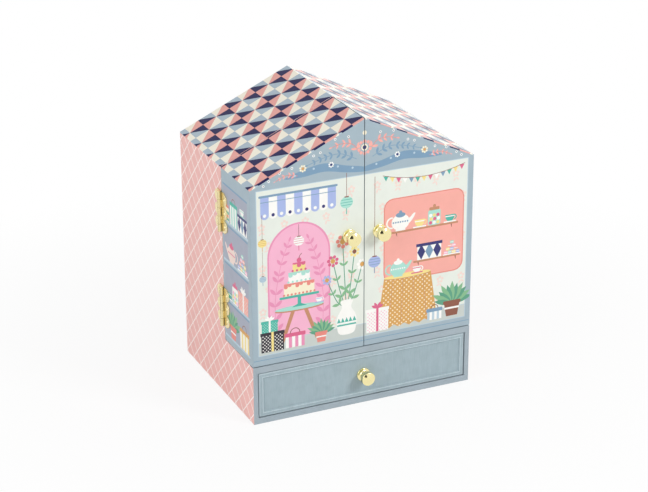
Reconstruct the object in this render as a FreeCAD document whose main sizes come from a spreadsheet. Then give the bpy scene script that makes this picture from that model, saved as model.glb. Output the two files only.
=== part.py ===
"""Ballerina jewellery box: a paper-covered house with two tray doors, a drawer and a musical dancer.

Millimetres. The origin is the middle of the underside, +Z is up and the front faces -Y.
"""
import FreeCAD, Part
import math
import os
import re

import Sketcher

# Proportions of every gear tooth, and the counts of hinge knuckles and scallops.
PRESSURE_ANGLE = 20
ADDENDUM = 0.9
DEDENDUM = 1.2
FLANK_STEPS = 4
KNUCKLES = 5
SCALLOPS = (-1, 0, 1)
GOLDEN_ANGLE = 137.5

# Driving dimensions, each the value of one cell of the sheet.
SIZES = {
    # Case
    "case_width": 170,
    "case_depth": 133,
    "eave_height": 176,
    "ridge_height": 215,
    "deck_height": 44,
    "wall_board": 3.5,
    "base_board": 4.4,
    "deck_board": 4.8,
    "back_board": 3.5,
    "roof_board": 3,
    "partition_board": 2.5,
    "mirror_width": 92,
    "mirror_height": 116,
    "mirror_glass": 2,
    "mirror_lift": 3,
    # Doors
    "door_depth": 52,
    "door_board": 3.2,
    "door_split": 0.8,
    "door_lift": 0.7,
    "seam_gap": 0.7,
    "shelf_board": 2.4,
    "shelf_height": 60,
    "rail_board": 2.2,
    "rail_height": 9,
    "magnet_radius": 3,
    "magnet_thickness": 2,
    "magnet_fit": 0.05,
    "magnet_inset": 20,
    # Drawer
    "drawer_gap": 0.6,
    "drawer_glide": 0.3,
    "drawer_headroom": 3,
    "drawer_rear_gap": 0.8,
    "drawer_front_board": 5,
    "drawer_frame": 4,
    "drawer_recess": 1,
    "drawer_side_board": 2.6,
    "drawer_bottom_board": 2,
    # Hinges
    "hinge_height": 30,
    "hinge_leaf_width": 11,
    "hinge_sheet": 0.8,
    "hinge_scallop": 4.2,
    "hinge_knuckle_radius": 1.6,
    "hinge_play": 0.2,
    "hinge_pin_radius": 0.75,
    "hinge_pin_head": 0.6,
    "hinge_pin_fit": 0.05,
    "hinge_upper_height": 143,
    "hinge_lower_height": 70.5,
    "nail_radius": 0.5,
    "nail_fit": 0.05,
    "nail_length": 2.4,
    "nail_head_radius": 1.1,
    "nail_head_height": 0.45,
    # Knobs
    "knob_length": 11,
    "knob_head_radius": 5,
    "knob_head_thickness": 5.4,
    "knob_neck_radius": 2.8,
    "knob_flange_radius": 5,
    "knob_flange_height": 1.2,
    "knob_screw_radius": 1.5,
    "knob_screw_grip": 6,
    "screw_fit": 0.06,
    "screw_head_radius": 3,
    "screw_head_height": 1.8,
    "door_knob_inset": 11.5,
    "door_knob_height": 131,
    # Musical movement
    "arbor_height": 22,
    "arbor_radius": 1,
    "arbor_fit": 0.05,
    "frame_plate": 1.6,
    "frame_upright_width": 11,
    "frame_upright_top": 6,
    "gear_module": 0.5,
    "gear_backlash": 0.14,
    "gear_face": 2,
    "gear_spacing": 0.7,
    "pinion_extra": 0.6,
    "cylinder_pinion_teeth": 12,
    "barrel_teeth": 60,
    "cylinder_wheel_teeth": 36,
    "fly_pinion_teeth": 16,
    "barrel_radius": 12.5,
    "barrel_length": 10,
    "barrel_wall": 1,
    "barrel_clearance": 2,
    "spring_clearance": 0.4,
    "drum_radius": 6.5,
    "drum_length": 12,
    "drum_tracks": 18,
    "pins_per_track": 3,
    "pin_radius": 0.22,
    "pin_height": 0.7,
    "pin_root": 0.3,
    "comb_clearance": 0.25,
    "comb_length": 21,
    "comb_plate": 0.8,
    "comb_slot": 0.22,
    "comb_root": 9,
    "comb_screw_radius": 1,
    "comb_screw_grip": 5,
    "comb_screw_inset": 3,
    "frame_screw_radius": 1.3,
    "frame_screw_depth": 3,
    "small_head_radius": 2,
    "small_head_height": 1.2,
    "fly_radius": 4.4,
    "fly_length": 8,
    "fly_vane": 0.6,
    "fly_arbor_radius": 0.7,
    "crown_module": 0.6,
    "crown_teeth": 24,
    "crown_face": 2,
    "crown_disc": 1.6,
    "crown_tooth_width": 0.5,
    "crown_tooth_root": 0.4,
    "spindle_pinion_teeth": 12,
    "spindle_radius": 1.5,
    "winding_arbor_radius": 1.8,
    "bush_wall": 2.2,
    "bush_flange": 2.5,
    "bush_flange_height": 0.8,
    "bush_drop": 3,
    "key_stem_length": 13,
    "key_stem_wall": 1.4,
    "key_standoff": 0.6,
    "key_wing_radius": 6,
    "key_wing_hole": 2.4,
    "key_wing_plate": 1.8,
    "key_socket": 5,
    "partition_clearance": 7,
    # Stop wire
    "stop_wire_radius": 0.6,
    "stop_travel": 4,
    "stop_slot_fit": 0.3,
    "stop_reach": 3.4,
    "stop_brake_gap": 0.3,
    "stop_door_gap": 0.3,
    # Dancer
    "stage_radius": 14,
    "stage_thickness": 2.2,
    "stage_gap": 0.3,
    "leg_length": 27,
    "leg_toe_radius": 0.8,
    "leg_hip_radius": 1.9,
    "leg_step": 1.1,
    "hip_radius": 3,
    "waist_radius": 2,
    "chest_radius": 3,
    "waist_height": 5.85,
    "chest_height": 9.75,
    "torso_length": 13,
    "neck_radius": 1,
    "neck_length": 3.4,
    "neck_root": 1.3,
    "head_radius": 3.4,
    "head_half_height": 3.91,
    "head_lift": 2.72,
    "bun_radius": 1.7,
    "bun_setback": 2.72,
    "bun_lift": 3.06,
    "shoulder_reach": 2.4,
    "arm_ring_radius": 8.6,
    "arm_radius": 0.85,
    "hand_gap_angle": 14,
    "tutu_radius": 17,
    "tutu_drop": 4.5,
    "tutu_thickness": 1.4,
    "tutu_fit": 0.15,
}

# Worked-out places and sizes, written in the names above.
DERIVED = {
    "half_width": "case_width / 2",
    "front_face": "-case_depth / 2",
    "back_face": "case_depth / 2",
    "bay_back": "back_face - back_board",
    "wall_inner": "half_width - wall_board",
    "rise": "(ridge_height - eave_height) / half_width",
    "roof_drop": "roof_board * sqrt(1 + rise * rise)",
    "seat_height": "eave_height - roof_drop",
    "deck_under": "deck_height - deck_board",
    "mirror_spring": "deck_height + mirror_lift + mirror_height - mirror_width / 2",
    "seam": "front_face + door_depth",
    "case_front": "seam + seam_gap",
    "door_half": "door_split / 2",
    "door_bottom": "deck_height + door_lift",
    "door_inner_front": "front_face + door_board",
    "door_side_inner": "half_width - door_board",
    "stile_outer": "door_half + door_board",
    "door_floor_top": "door_bottom + door_board",
    "shelf_bottom": "door_floor_top + shelf_height",
    "magnet_place": "seam - door_board - magnet_radius",
    "knob_bore": "knob_screw_radius + screw_fit",
    "hinge_axis_out": "half_width + hinge_knuckle_radius + hinge_play",
    "hinge_axis_y": "seam + seam_gap / 2",
    "hinge_plate_start": "hinge_knuckle_radius + hinge_play",
    "hinge_scallop_line": "hinge_leaf_width - hinge_scallop",
    "knuckle_pitch": f"hinge_height / {KNUCKLES}",
    "scallop_pitch": f"hinge_height / {len(SCALLOPS)}",
    "drawer_half": "wall_inner - drawer_gap",
    "drawer_low": "base_board + drawer_glide",
    "drawer_top": "deck_under - drawer_headroom",
    "drawer_back_of_front": "front_face + drawer_front_board",
    "drawer_rear": "partition_front - drawer_rear_gap",
    "drawer_middle": "(base_board + deck_under) / 2",
    "pinion_pitch": "gear_module * cylinder_pinion_teeth / 2",
    "barrel_pitch": "gear_module * barrel_teeth / 2",
    "wheel_pitch": "gear_module * cylinder_wheel_teeth / 2",
    "fly_pitch": "gear_module * fly_pinion_teeth / 2",
    "barrel_x": "-(barrel_pitch + pinion_pitch)",
    "fly_x": "-(wheel_pitch + fly_pitch)",
    "barrel_rear": "bay_back - barrel_clearance",
    "barrel_front": "barrel_rear - barrel_length",
    "great_wheel_front": "barrel_front - gear_face",
    "pinion_length": "gear_face + pinion_extra",
    "pinion_front": "great_wheel_front - pinion_extra / 2",
    "rear_upright": "pinion_front + pinion_length + gear_spacing",
    "drum_rear": "pinion_front - gear_spacing",
    "drum_front": "drum_rear - drum_length",
    "wheel_front": "drum_front - gear_spacing - gear_face",
    "fly_pinion_front": "wheel_front - pinion_extra / 2",
    "front_upright": "fly_pinion_front - gear_spacing - frame_plate",
    "governor_upright": "fly_pinion_front + pinion_length + gear_spacing",
    "barrel_upright": "great_wheel_front - gear_spacing - frame_plate",
    "crown_root": "front_upright - gear_spacing - crown_disc",
    "crown_dedendum": f"{DEDENDUM} * crown_module",
    "crown_pitch": "crown_module * crown_teeth / 2",
    "spindle_pitch": "crown_module * spindle_pinion_teeth / 2",
    "spindle_y": "crown_root - crown_dedendum - spindle_pitch",
    "spindle_mesh": "arbor_height + crown_pitch",
    "partition_back": "spindle_y - partition_clearance",
    "partition_front": "partition_back - partition_board",
    "fly_front": "front_upright - gear_spacing - fly_length",
    "plate_top": "base_board + frame_plate",
    "upright_top": "arbor_height + frame_upright_top",
    "comb_tip": "drum_radius + pin_height + comb_clearance",
    "comb_end": "comb_tip + comb_length",
    "comb_seat": "arbor_height - comb_plate / 2",
    "comb_screw_x": "comb_end - comb_root / 2",
    "bush_radius": "spindle_radius + arbor_fit + bush_wall",
    "wind_bush_radius": "winding_arbor_radius + arbor_fit + bush_wall",
    "bush_flange_top": "deck_height + bush_flange_height",
    "stage_bottom": "bush_flange_top + stage_gap",
    "stage_top": "stage_bottom + stage_thickness",
    "hip_height": "stage_top + leg_length",
    "shoulder_height": "hip_height + torso_length",
    "waist_level": "hip_height + waist_height",
    "chest_level": "hip_height + chest_height",
    "head_height": "shoulder_height + neck_length + head_lift",
    "tutu_hole": "hip_radius + tutu_fit",
    "tutu_top": "hip_height + tutu_thickness",
    "stop_x": "fly_x",
    "stop_notch": "stop_wire_radius + stop_slot_fit",
    "stop_level": "deck_under - stop_notch",
    "stop_front": "seam + stop_door_gap + stop_wire_radius",
    "stop_back": "fly_front + fly_length / 2",
    "stop_top": "deck_height + stop_reach",
    "stop_tip": "arbor_height + fly_radius + stop_brake_gap",
    "key_stem_radius": "winding_arbor_radius + key_stem_wall",
    "key_front": "back_face + bush_flange_height + key_standoff",
    "key_end": "key_front + key_stem_length",
}

doc = FreeCAD.newDocument("BallerinaBox")
sheet = doc.addObject("Spreadsheet::Sheet", "Sizes")
for row, (alias, number) in enumerate(SIZES.items(), start=1):
    sheet.set(f"A{row}", alias.replace("_", " "))
    sheet.set(f"B{row}", str(number))
    sheet.setAlias(f"B{row}", alias)
doc.recompute()

nodes = []
AXIS_TURN = {
    "X": FreeCAD.Rotation(FreeCAD.Vector(0, 1, 0), 90),
    "Y": FreeCAD.Rotation(FreeCAD.Vector(1, 0, 0), -90),
    "Z": FreeCAD.Rotation(),
}
SIGN = {"left": "-", "right": "+"}
SIDES = ("left", "right")


def formula(text):
    """Writes names of sizes out as references to the sheet's cells."""
    def expand(match):
        name = match.group(0)
        if name in DERIVED:
            return f"({formula(DERIVED[name])})"
        return f"Sizes.{name}" if name in SIZES else name
    return re.sub(r"[a-z_]+[a-z]", expand, text)


def size(name):
    """The present number of a driving dimension."""
    return float(sheet.get(name))


def bind(thing, **texts):
    """Ties properties of an object to formulas."""
    for path, text in texts.items():
        thing.setExpression(path, formula(text))
    return thing


def place(thing, x="0", y="0", z="0", turn=None):
    """Ties the place of an object to formulas."""
    thing.Placement = FreeCAD.Placement(FreeCAD.Vector(), turn or FreeCAD.Rotation())
    for axis, text in zip("xyz", (x, y, z)):
        thing.setExpression(f"Placement.Base.{axis}", formula(text))
    return thing


def node(thing, label):
    """Names an object as a piece of the box."""
    thing.Label = label
    nodes.append(thing)
    return thing


def span(side, near, far):
    """The X range between two distances from the middle plane, on one side."""
    return (f"-({far})", f"-({near})") if side == "left" else (near, far)


def board(name, across, along, upward):
    """A flat board between pairs of X, Y and Z formulas."""
    box = doc.addObject("Part::Box", name)
    pairs = (across, along, upward)
    for path, (low, high) in zip(("Length", "Width", "Height"), pairs):
        box.setExpression(path, formula(f"({high}) - ({low})"))
    return place(box, *(pair[0] for pair in pairs))


def rod(name, axis, radius, length, x="0", y="0", z="0"):
    """A round rod that starts at a point and runs along one axis."""
    cylinder = doc.addObject("Part::Cylinder", name)
    bind(cylinder, Radius=radius, Height=length)
    return place(cylinder, x, y, z, AXIS_TURN[axis])


def group(name, pieces):
    """Separate solids kept together as one node."""
    compound = doc.addObject("Part::Compound", name)
    compound.Links = pieces
    return compound


def fused(name, pieces):
    """Several shapes joined to one solid."""
    union = doc.addObject("Part::MultiFuse", name)
    union.Shapes = pieces
    return union


def cut(name, base, cutters):
    """A shape with holes or slots taken out of it."""
    result = doc.addObject("Part::Cut", name)
    result.Base = base
    result.Tool = group(f"{name}_cutters", cutters) if len(cutters) > 1 else cutters[0]
    return result


def profile_body(name, plane, corners, depth, **spot):
    """A body padded from a polygon of pairs of formulas, on one of its origin planes."""
    body = doc.addObject("PartDesign::Body", name)
    sketch = body.newObject("Sketcher::SketchObject", f"{name}_outline")
    origin_plane = next(item for item in body.Origin.OriginFeatures if item.Role == plane)
    sketch.AttachmentSupport = [(origin_plane, "")]
    sketch.MapMode = "FlatFace"
    count = len(corners)
    turns = [math.tau * index / count for index in range(count)]
    ring = [FreeCAD.Vector(math.cos(turn), math.sin(turn)) for turn in turns]
    for index in range(count):
        sketch.addGeometry(Part.LineSegment(ring[index], ring[(index + 1) % count]), False)
    for index in range(count):
        sketch.addConstraint(Sketcher.Constraint("Coincident", index, 2, (index + 1) % count, 1))
    for index, corner in enumerate(corners):
        for kind, text, start in zip(("DistanceX", "DistanceY"), corner, ring[index]):
            number = sketch.addConstraint(Sketcher.Constraint(kind, -1, 1, index, 1, start))
            sketch.setExpression(f"Constraints[{number}]", formula(text))
    pad = body.newObject("PartDesign::Pad", f"{name}_pad")
    pad.Profile = sketch
    bind(pad, Length=depth)
    return place(body, **spot)


def tooth_outline(teeth, module, backlash, turn):
    """The closed outline of a spur gear with involute flanks."""
    pressure = math.radians(PRESSURE_ANGLE)
    pitch = module * teeth / 2
    base = pitch * math.cos(pressure)
    root = pitch - DEDENDUM * module
    tip = pitch + ADDENDUM * module
    half_tooth = math.pi / (2 * teeth) - backlash / (2 * pitch) + math.tan(pressure) - pressure

    def half_angle(radius):
        roll = math.acos(min(1.0, base / radius))
        return half_tooth - (math.tan(roll) - roll)

    low = max(root, base)
    radii = [root] + [low + (tip - low) * step / FLANK_STEPS for step in range(FLANK_STEPS + 1)]
    if root >= base:
        radii = radii[1:]
    points = []
    for tooth in range(teeth):
        middle = turn + math.tau * tooth / teeth
        points += [(radius, middle - half_angle(radius)) for radius in radii]
        points += [(radius, middle + half_angle(radius)) for radius in reversed(radii)]
    return [FreeCAD.Vector(reach * math.cos(angle), reach * math.sin(angle)) for reach, angle in points]


def gear(name, teeth, module, turn, thickness):
    """A spur gear on the XY plane; teeth, module and thickness are names of sizes."""
    outline = tooth_outline(int(size(teeth)), size(module), size("gear_backlash"), turn)
    face = Part.Face(Part.makePolygon(outline + outline[:1]))
    feature = doc.addObject("Part::Feature", name)
    feature.Shape = face.extrude(FreeCAD.Vector(0, 0, thickness))
    return feature


def half_pitch(teeth):
    """Half the angle between two teeth."""
    return math.pi / size(teeth)


def place_on_y(thing, x, y, z):
    """Places a piece made on the XY plane with its own Z along +Y and its own X kept."""
    return place(thing, x, y, z, AXIS_TURN["Y"])


def build_case():
    """Walls, boards, roof and mirror of the fixed case."""
    for side in SIDES:
        sign = SIGN[side]
        wall = profile_body(f"{side}_wall_board", "YZ_Plane", [
            ("front_face", "0"),
            ("back_face", "0"),
            ("back_face", "seat_height"),
            ("case_front", "seat_height"),
            ("case_front", "deck_height"),
            ("front_face", "deck_height"),
        ], "wall_board", x=span(side, "wall_inner", "half_width")[0])
        holes = nail_rods(side, "+", "nail_radius + nail_fit", "nail_length + nail_fit", "hole")
        node(cut(f"{side}_wall_nailed", wall, holes), f"{side}_wall")
        roof = profile_body(f"{side}_roof", "XZ_Plane", [
            ("0", "ridge_height"),
            (f"{sign}(half_width)", "eave_height"),
            (f"{sign}(half_width)", "seat_height"),
            (f"{sign}(wall_inner)", "seat_height"),
            (f"{sign}(wall_inner)", "seat_height + wall_board * rise"),
            ("0", "ridge_height - roof_drop"),
        ], "back_face - (case_front)", y="back_face")
        node(roof, f"{side}_roof_board")

    back = profile_body("back", "XZ_Plane", [
        ("-(wall_inner)", "0"),
        ("wall_inner", "0"),
        ("wall_inner", "seat_height + wall_board * rise"),
        ("0", "ridge_height - roof_drop"),
        ("-(wall_inner)", "seat_height + wall_board * rise"),
    ], "back_board", y="back_face")
    key_hole = rod("key_hole", "Y", "wind_bush_radius", "back_board",
                   "barrel_x", "bay_back", "arbor_height")
    node(cut("back_holed", back, [key_hole]), "back_panel")

    between = ("-(wall_inner)", "wall_inner")
    deep = ("front_face", "bay_back")
    base = board("base", between, deep, ("0", "base_board"))
    base_holes = frame_screw_rods("base_hole", "frame_screw_radius + screw_fit",
                                  "base_board - frame_screw_depth", "base_board")
    node(cut("base_holed", base, base_holes), "base_board")
    deck_layer = ("deck_under", "deck_height")
    deck = board("deck", between, deep, deck_layer)
    notch_across = ("stop_x - stop_notch", "stop_x + stop_notch")
    slot = board("stop_slot", notch_across,
                 ("stop_front - stop_travel - stop_notch", "stop_front + stop_notch"), deck_layer)
    spindle_hole = rod("spindle_hole", "Z", "bush_radius", "deck_board", "0", "spindle_y", "deck_under")
    pocket_floor = "deck_height - magnet_thickness"
    pockets = [magnet(f"{side}_deck_pocket", side, pocket_floor, "magnet_fit") for side in SIDES]
    node(cut("deck_holed", deck, [slot, spindle_hole] + pockets), "deck_board")
    discs = [magnet(f"{side}_deck_disc", side, pocket_floor, "0") for side in SIDES]
    node(group("magnets_in_deck", discs), "deck_magnets")

    partition_layer = ("partition_front", "partition_back")
    partition = board("partition", between, partition_layer, ("base_board", "deck_under"))
    wire_notch = board("wire_notch", notch_across, partition_layer,
                       ("stop_level - stop_notch", "deck_under"))
    node(cut("partition_notched", partition, [wire_notch]), "partition_board")

    mirror_spot = ("bay_back - mirror_glass", "bay_back")
    straight = board("mirror_sheet", ("-mirror_width / 2", "mirror_width / 2"), mirror_spot,
                     ("deck_height + mirror_lift", "mirror_spring"))
    arch = rod("mirror_arch", "Y", "mirror_width / 2", "mirror_glass",
               "0", "bay_back - mirror_glass", "mirror_spring")
    node(fused("mirror_shape", [straight, arch]), "mirror")


def magnet(name, side, bottom, fit):
    """A disc magnet under one door, near its meeting wall."""
    return rod(name, "Z", f"magnet_radius + {fit}", "magnet_thickness",
               f"{SIGN[side]}magnet_inset", "magnet_place", bottom)


def hinge_heights():
    """The two heights at which each door is hung."""
    return {"upper": "hinge_upper_height", "lower": "hinge_lower_height"}


def scallop_spots(direction, height):
    """The Y and Z formulas of the middle of each scallop of one leaf, where its nails go."""
    return [(f"hinge_axis_y {direction} (hinge_scallop_line)", f"{height} + {step} * scallop_pitch")
            for step in SCALLOPS]


def nail_rods(side, direction, radius, length, kind):
    """Round rods at the nail places of a pair of leaves, from the board's face into the board."""
    start = span(side, f"half_width - ({length})", "half_width")[0]
    return [rod(f"{side}_{kind}_{level}", "X", radius, length, start, *spot)
            for level, height in hinge_heights().items() for spot in scallop_spots(direction, height)]


def nails(side, direction, owner):
    """Domed nails through the scallops of a pair of leaves."""
    leaf_face = "half_width + hinge_sheet"
    shank_start = span(side, "half_width - nail_length", leaf_face)[0]
    head_start = span(side, leaf_face, f"{leaf_face} + nail_head_height")[0]
    pieces = []
    for height in hinge_heights().values():
        for spot in scallop_spots(direction, height):
            shank = rod(f"{owner}_shank", "X", "nail_radius", "nail_length + hinge_sheet",
                        shank_start, *spot)
            head = rod(f"{owner}_head", "X", "nail_head_radius", "nail_head_height", head_start, *spot)
            pieces.append(fused(f"{owner}_nail", [shank, head]))
    return pieces


def hinge_leaf(name, side, height, direction, knuckles):
    """One scalloped leaf with its knuckles; direction is + towards the back and - towards the front."""
    skin = span(side, "half_width", "half_width + hinge_sheet")
    out = f"{SIGN[side]}(hinge_axis_out)"
    bottom = f"{height} - hinge_height / 2"

    def along(near, far):
        ends = (f"hinge_axis_y {direction} ({near})", f"hinge_axis_y {direction} ({far})")
        return ends if direction == "+" else ends[::-1]

    pieces = [board(f"{name}_plate", skin, along("hinge_plate_start", "hinge_scallop_line"),
                    (bottom, f"{height} + hinge_height / 2"))]
    spots = scallop_spots(direction, height)
    for spot in spots:
        pieces.append(rod(f"{name}_scallop", "X", "hinge_scallop", "hinge_sheet", skin[0], *spot))
    for index in knuckles:
        low = f"{bottom} + {index} * knuckle_pitch + hinge_play / 2"
        pieces.append(rod(f"{name}_knuckle", "Z", "hinge_knuckle_radius", "knuckle_pitch - hinge_play",
                          out, "hinge_axis_y", low))
        pieces.append(board(f"{name}_tab", skin, along("0", "hinge_plate_start"),
                            (low, f"{low} + knuckle_pitch - hinge_play")))
    bore = rod(f"{name}_bore", "Z", "hinge_pin_radius + hinge_pin_fit", "hinge_height",
               out, "hinge_axis_y", bottom)
    nail_holes = [rod(f"{name}_nail_hole", "X", "nail_radius + nail_fit", "hinge_sheet", skin[0], *spot)
                  for spot in spots]
    return cut(f"{name}_leaf", fused(f"{name}_body", pieces), [bore] + nail_holes)


def build_hinges():
    """The case's half of the hinges: leaves, pins and nails."""
    pins = []
    case_nails = []
    for side in SIDES:
        leaves = [hinge_leaf(f"{side}_{level}_case", side, height, "+", (0, 2, 4))
                  for level, height in hinge_heights().items()]
        node(group(f"{side}_case_leaves", leaves), f"{side}_hinge_case_leaves")
        case_nails += nails(side, "+", f"{side}_case")
        for level, height in hinge_heights().items():
            out = f"{SIGN[side]}(hinge_axis_out)"
            stem = rod(f"{side}_{level}_pin", "Z", "hinge_pin_radius", "hinge_height",
                       out, "hinge_axis_y", f"{height} - hinge_height / 2")
            cap = rod(f"{side}_{level}_pin_cap", "Z", "hinge_knuckle_radius", "hinge_pin_head",
                      out, "hinge_axis_y", f"{height} + hinge_height / 2")
            pins.append(fused(f"{side}_{level}_hinge_pin", [stem, cap]))
    node(group("pins", pins), "hinge_pins")
    node(group("case_nails", case_nails), "case_hinge_nails")


def knob(name, label, x, face, z):
    """A mushroom knob that stands forward of a face."""
    flange = rod(f"{name}_flange", "Y", "knob_flange_radius", "knob_flange_height", x,
                 f"{face} - knob_flange_height", z)
    neck = rod(f"{name}_neck", "Y", "knob_neck_radius", "knob_length - knob_head_thickness / 2", x,
               f"{face} - knob_length + knob_head_thickness / 2", z)
    head = doc.addObject("Part::Ellipsoid", f"{name}_head")
    head.Angle1 = -90
    bind(head, Radius1="knob_head_thickness / 2", Radius2="knob_head_radius", Radius3="knob_head_radius")
    place(head, x, f"{face} - knob_length + knob_head_thickness / 2", z, AXIS_TURN["Y"])
    bore = rod(f"{name}_bore", "Y", "knob_bore", "knob_screw_grip + screw_fit", x,
               f"{face} - knob_screw_grip - screw_fit", z)
    node(cut(f"{name}_solid", fused(f"{name}_turned", [flange, neck, head]), [bore]), label)


def knob_screw(name, label, x, face, thickness, z):
    """The machine screw that holds a knob, its head behind the board."""
    shank = rod(f"{name}_shank", "Y", "knob_screw_radius", f"knob_screw_grip + {thickness}", x,
                f"{face} - knob_screw_grip", z)
    head = rod(f"{name}_head", "Y", "screw_head_radius", "screw_head_height", x, f"{face} + {thickness}", z)
    node(fused(f"{name}_screw", [shank, head]), label)


def tray(name, across, low, high):
    """A shelf in a door, with the rail along its open edge that keeps things on it."""
    return profile_body(name, "YZ_Plane", [
        ("door_inner_front", low),
        ("seam", low),
        ("seam", f"{high} + rail_height"),
        ("seam - rail_board", f"{high} + rail_height"),
        ("seam - rail_board", high),
        ("door_inner_front", high),
    ], f"{across[1]} - ({across[0]})", x=across[0])


def build_door(side):
    """One door: a deep tray with half the gable, its own roof, shelf, knob and hinge leaves."""
    sign = SIGN[side]
    run = "seam - (door_inner_front)"
    inside = span(side, "stile_outer", "door_side_inner")
    depth = ("door_inner_front", "seam")
    front = profile_body(f"{side}_front_outline", "XZ_Plane", [
        (f"{sign}(half_width)", "door_bottom"),
        (f"{sign}(door_half)", "door_bottom"),
        (f"{sign}(door_half)", "ridge_height - door_half * rise"),
        (f"{sign}(half_width)", "eave_height"),
    ], "door_board", y="door_inner_front")
    knob_x = f"{sign}door_knob_inset"
    hole = rod(f"{side}_knob_hole", "Y", "knob_bore", "door_board",
               knob_x, "front_face", "door_knob_height")
    node(cut(f"{side}_front_holed", front, [hole]), f"{side}_door_front")

    flank = board(f"{side}_side", span(side, "door_side_inner", "half_width"), depth,
                  ("door_bottom", "seat_height"))
    nail_holes = nail_rods(side, "-", "nail_radius + nail_fit", "nail_length + nail_fit", "door_hole")
    node(cut(f"{side}_side_nailed", flank, nail_holes), f"{side}_door_side")

    node(profile_body(f"{side}_cover", "XZ_Plane", [
        (f"{sign}(door_half)", "ridge_height - door_half * rise"),
        (f"{sign}(half_width)", "eave_height"),
        (f"{sign}(half_width)", "seat_height"),
        (f"{sign}(door_side_inner)", "seat_height"),
        (f"{sign}(door_side_inner)", "seat_height + door_board * rise"),
        (f"{sign}(door_half)", "ridge_height - roof_drop - door_half * rise"),
    ], run, y="seam"), f"{side}_door_roof")
    node(profile_body(f"{side}_stile", "XZ_Plane", [
        (f"{sign}(door_half)", "door_bottom"),
        (f"{sign}(stile_outer)", "door_bottom"),
        (f"{sign}(stile_outer)", "ridge_height - roof_drop - (stile_outer) * rise"),
        (f"{sign}(door_half)", "ridge_height - roof_drop - door_half * rise"),
    ], run, y="seam"), f"{side}_door_meeting_wall")

    floor = tray(f"{side}_floor", inside, "door_bottom", "door_floor_top")
    pocket = magnet(f"{side}_floor_pocket", side, "door_bottom", "magnet_fit")
    node(cut(f"{side}_floor_holed", floor, [pocket]), f"{side}_door_floor")
    node(magnet(f"{side}_disc", side, "door_bottom", "0"), f"{side}_door_magnet")
    shelf = tray(f"{side}_shelf", inside, "shelf_bottom", "shelf_bottom + shelf_board")
    node(shelf, f"{side}_door_shelf")

    knob(f"{side}_knob", f"{side}_door_knob", knob_x, "front_face", "door_knob_height")
    knob_screw(f"{side}_knob", f"{side}_door_knob_screw", knob_x, "front_face", "door_board",
               "door_knob_height")
    leaves = [hinge_leaf(f"{side}_{level}_door", side, height, "-", (1, 3))
              for level, height in hinge_heights().items()]
    node(group(f"{side}_door_leaves", leaves), f"{side}_hinge_door_leaves")
    node(group(f"{side}_nails", nails(side, "-", f"{side}_door")), f"{side}_door_hinge_nails")


def build_drawer():
    """The drawer: a framed front, two sides, a back, a bottom and a knob."""
    across = ("-(drawer_half)", "drawer_half")
    low = "base_board + drawer_gap"
    high = "deck_under - drawer_gap"
    slab = board("drawer_slab", across, ("front_face", "drawer_back_of_front"), (low, high))
    seat = "front_face + drawer_recess"
    panel = board("drawer_panel_recess", ("-(drawer_half) + drawer_frame", "drawer_half - drawer_frame"),
                  ("front_face", seat), (f"{low} + drawer_frame", f"{high} - drawer_frame"))
    hole = rod("drawer_knob_hole", "Y", "knob_bore", "drawer_front_board",
               "0", "front_face", "drawer_middle")
    node(cut("drawer_front_holed", slab, [panel, hole]), "drawer_front")
    long = ("drawer_back_of_front", "drawer_rear")
    tall = ("drawer_low", "drawer_top")
    for side in SIDES:
        flank = span(side, "drawer_half - drawer_side_board", "drawer_half")
        node(board(f"drawer_{side}", flank, long, tall), f"drawer_{side}_side")
    inner = ("-(drawer_half) + drawer_side_board", "drawer_half - drawer_side_board")
    end = ("drawer_rear - drawer_side_board", "drawer_rear")
    node(board("drawer_end", inner, end, tall), "drawer_back")
    node(board("drawer_tray", inner, ("drawer_back_of_front", end[0]),
               ("drawer_low", "drawer_low + drawer_bottom_board")), "drawer_bottom")
    knob("drawer_knob", "drawer_knob", "0", seat, "drawer_middle")
    knob_screw("drawer_knob", "drawer_knob_screw", "0", seat, "drawer_front_board - drawer_recess",
               "drawer_middle")


def frame_screw_rods(name, radius, bottom, top):
    """Upright rods at the three places where the movement is screwed down."""
    spots = (("barrel_x", "front_upright + frame_plate + small_head_radius"),
             ("comb_screw_x", "drum_front - small_head_radius - gear_spacing"),
             ("comb_screw_x", "drum_rear + small_head_radius + gear_spacing"))
    return [rod(name, "Z", radius, f"{top} - ({bottom})", x, y, bottom) for x, y in spots]


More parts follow.
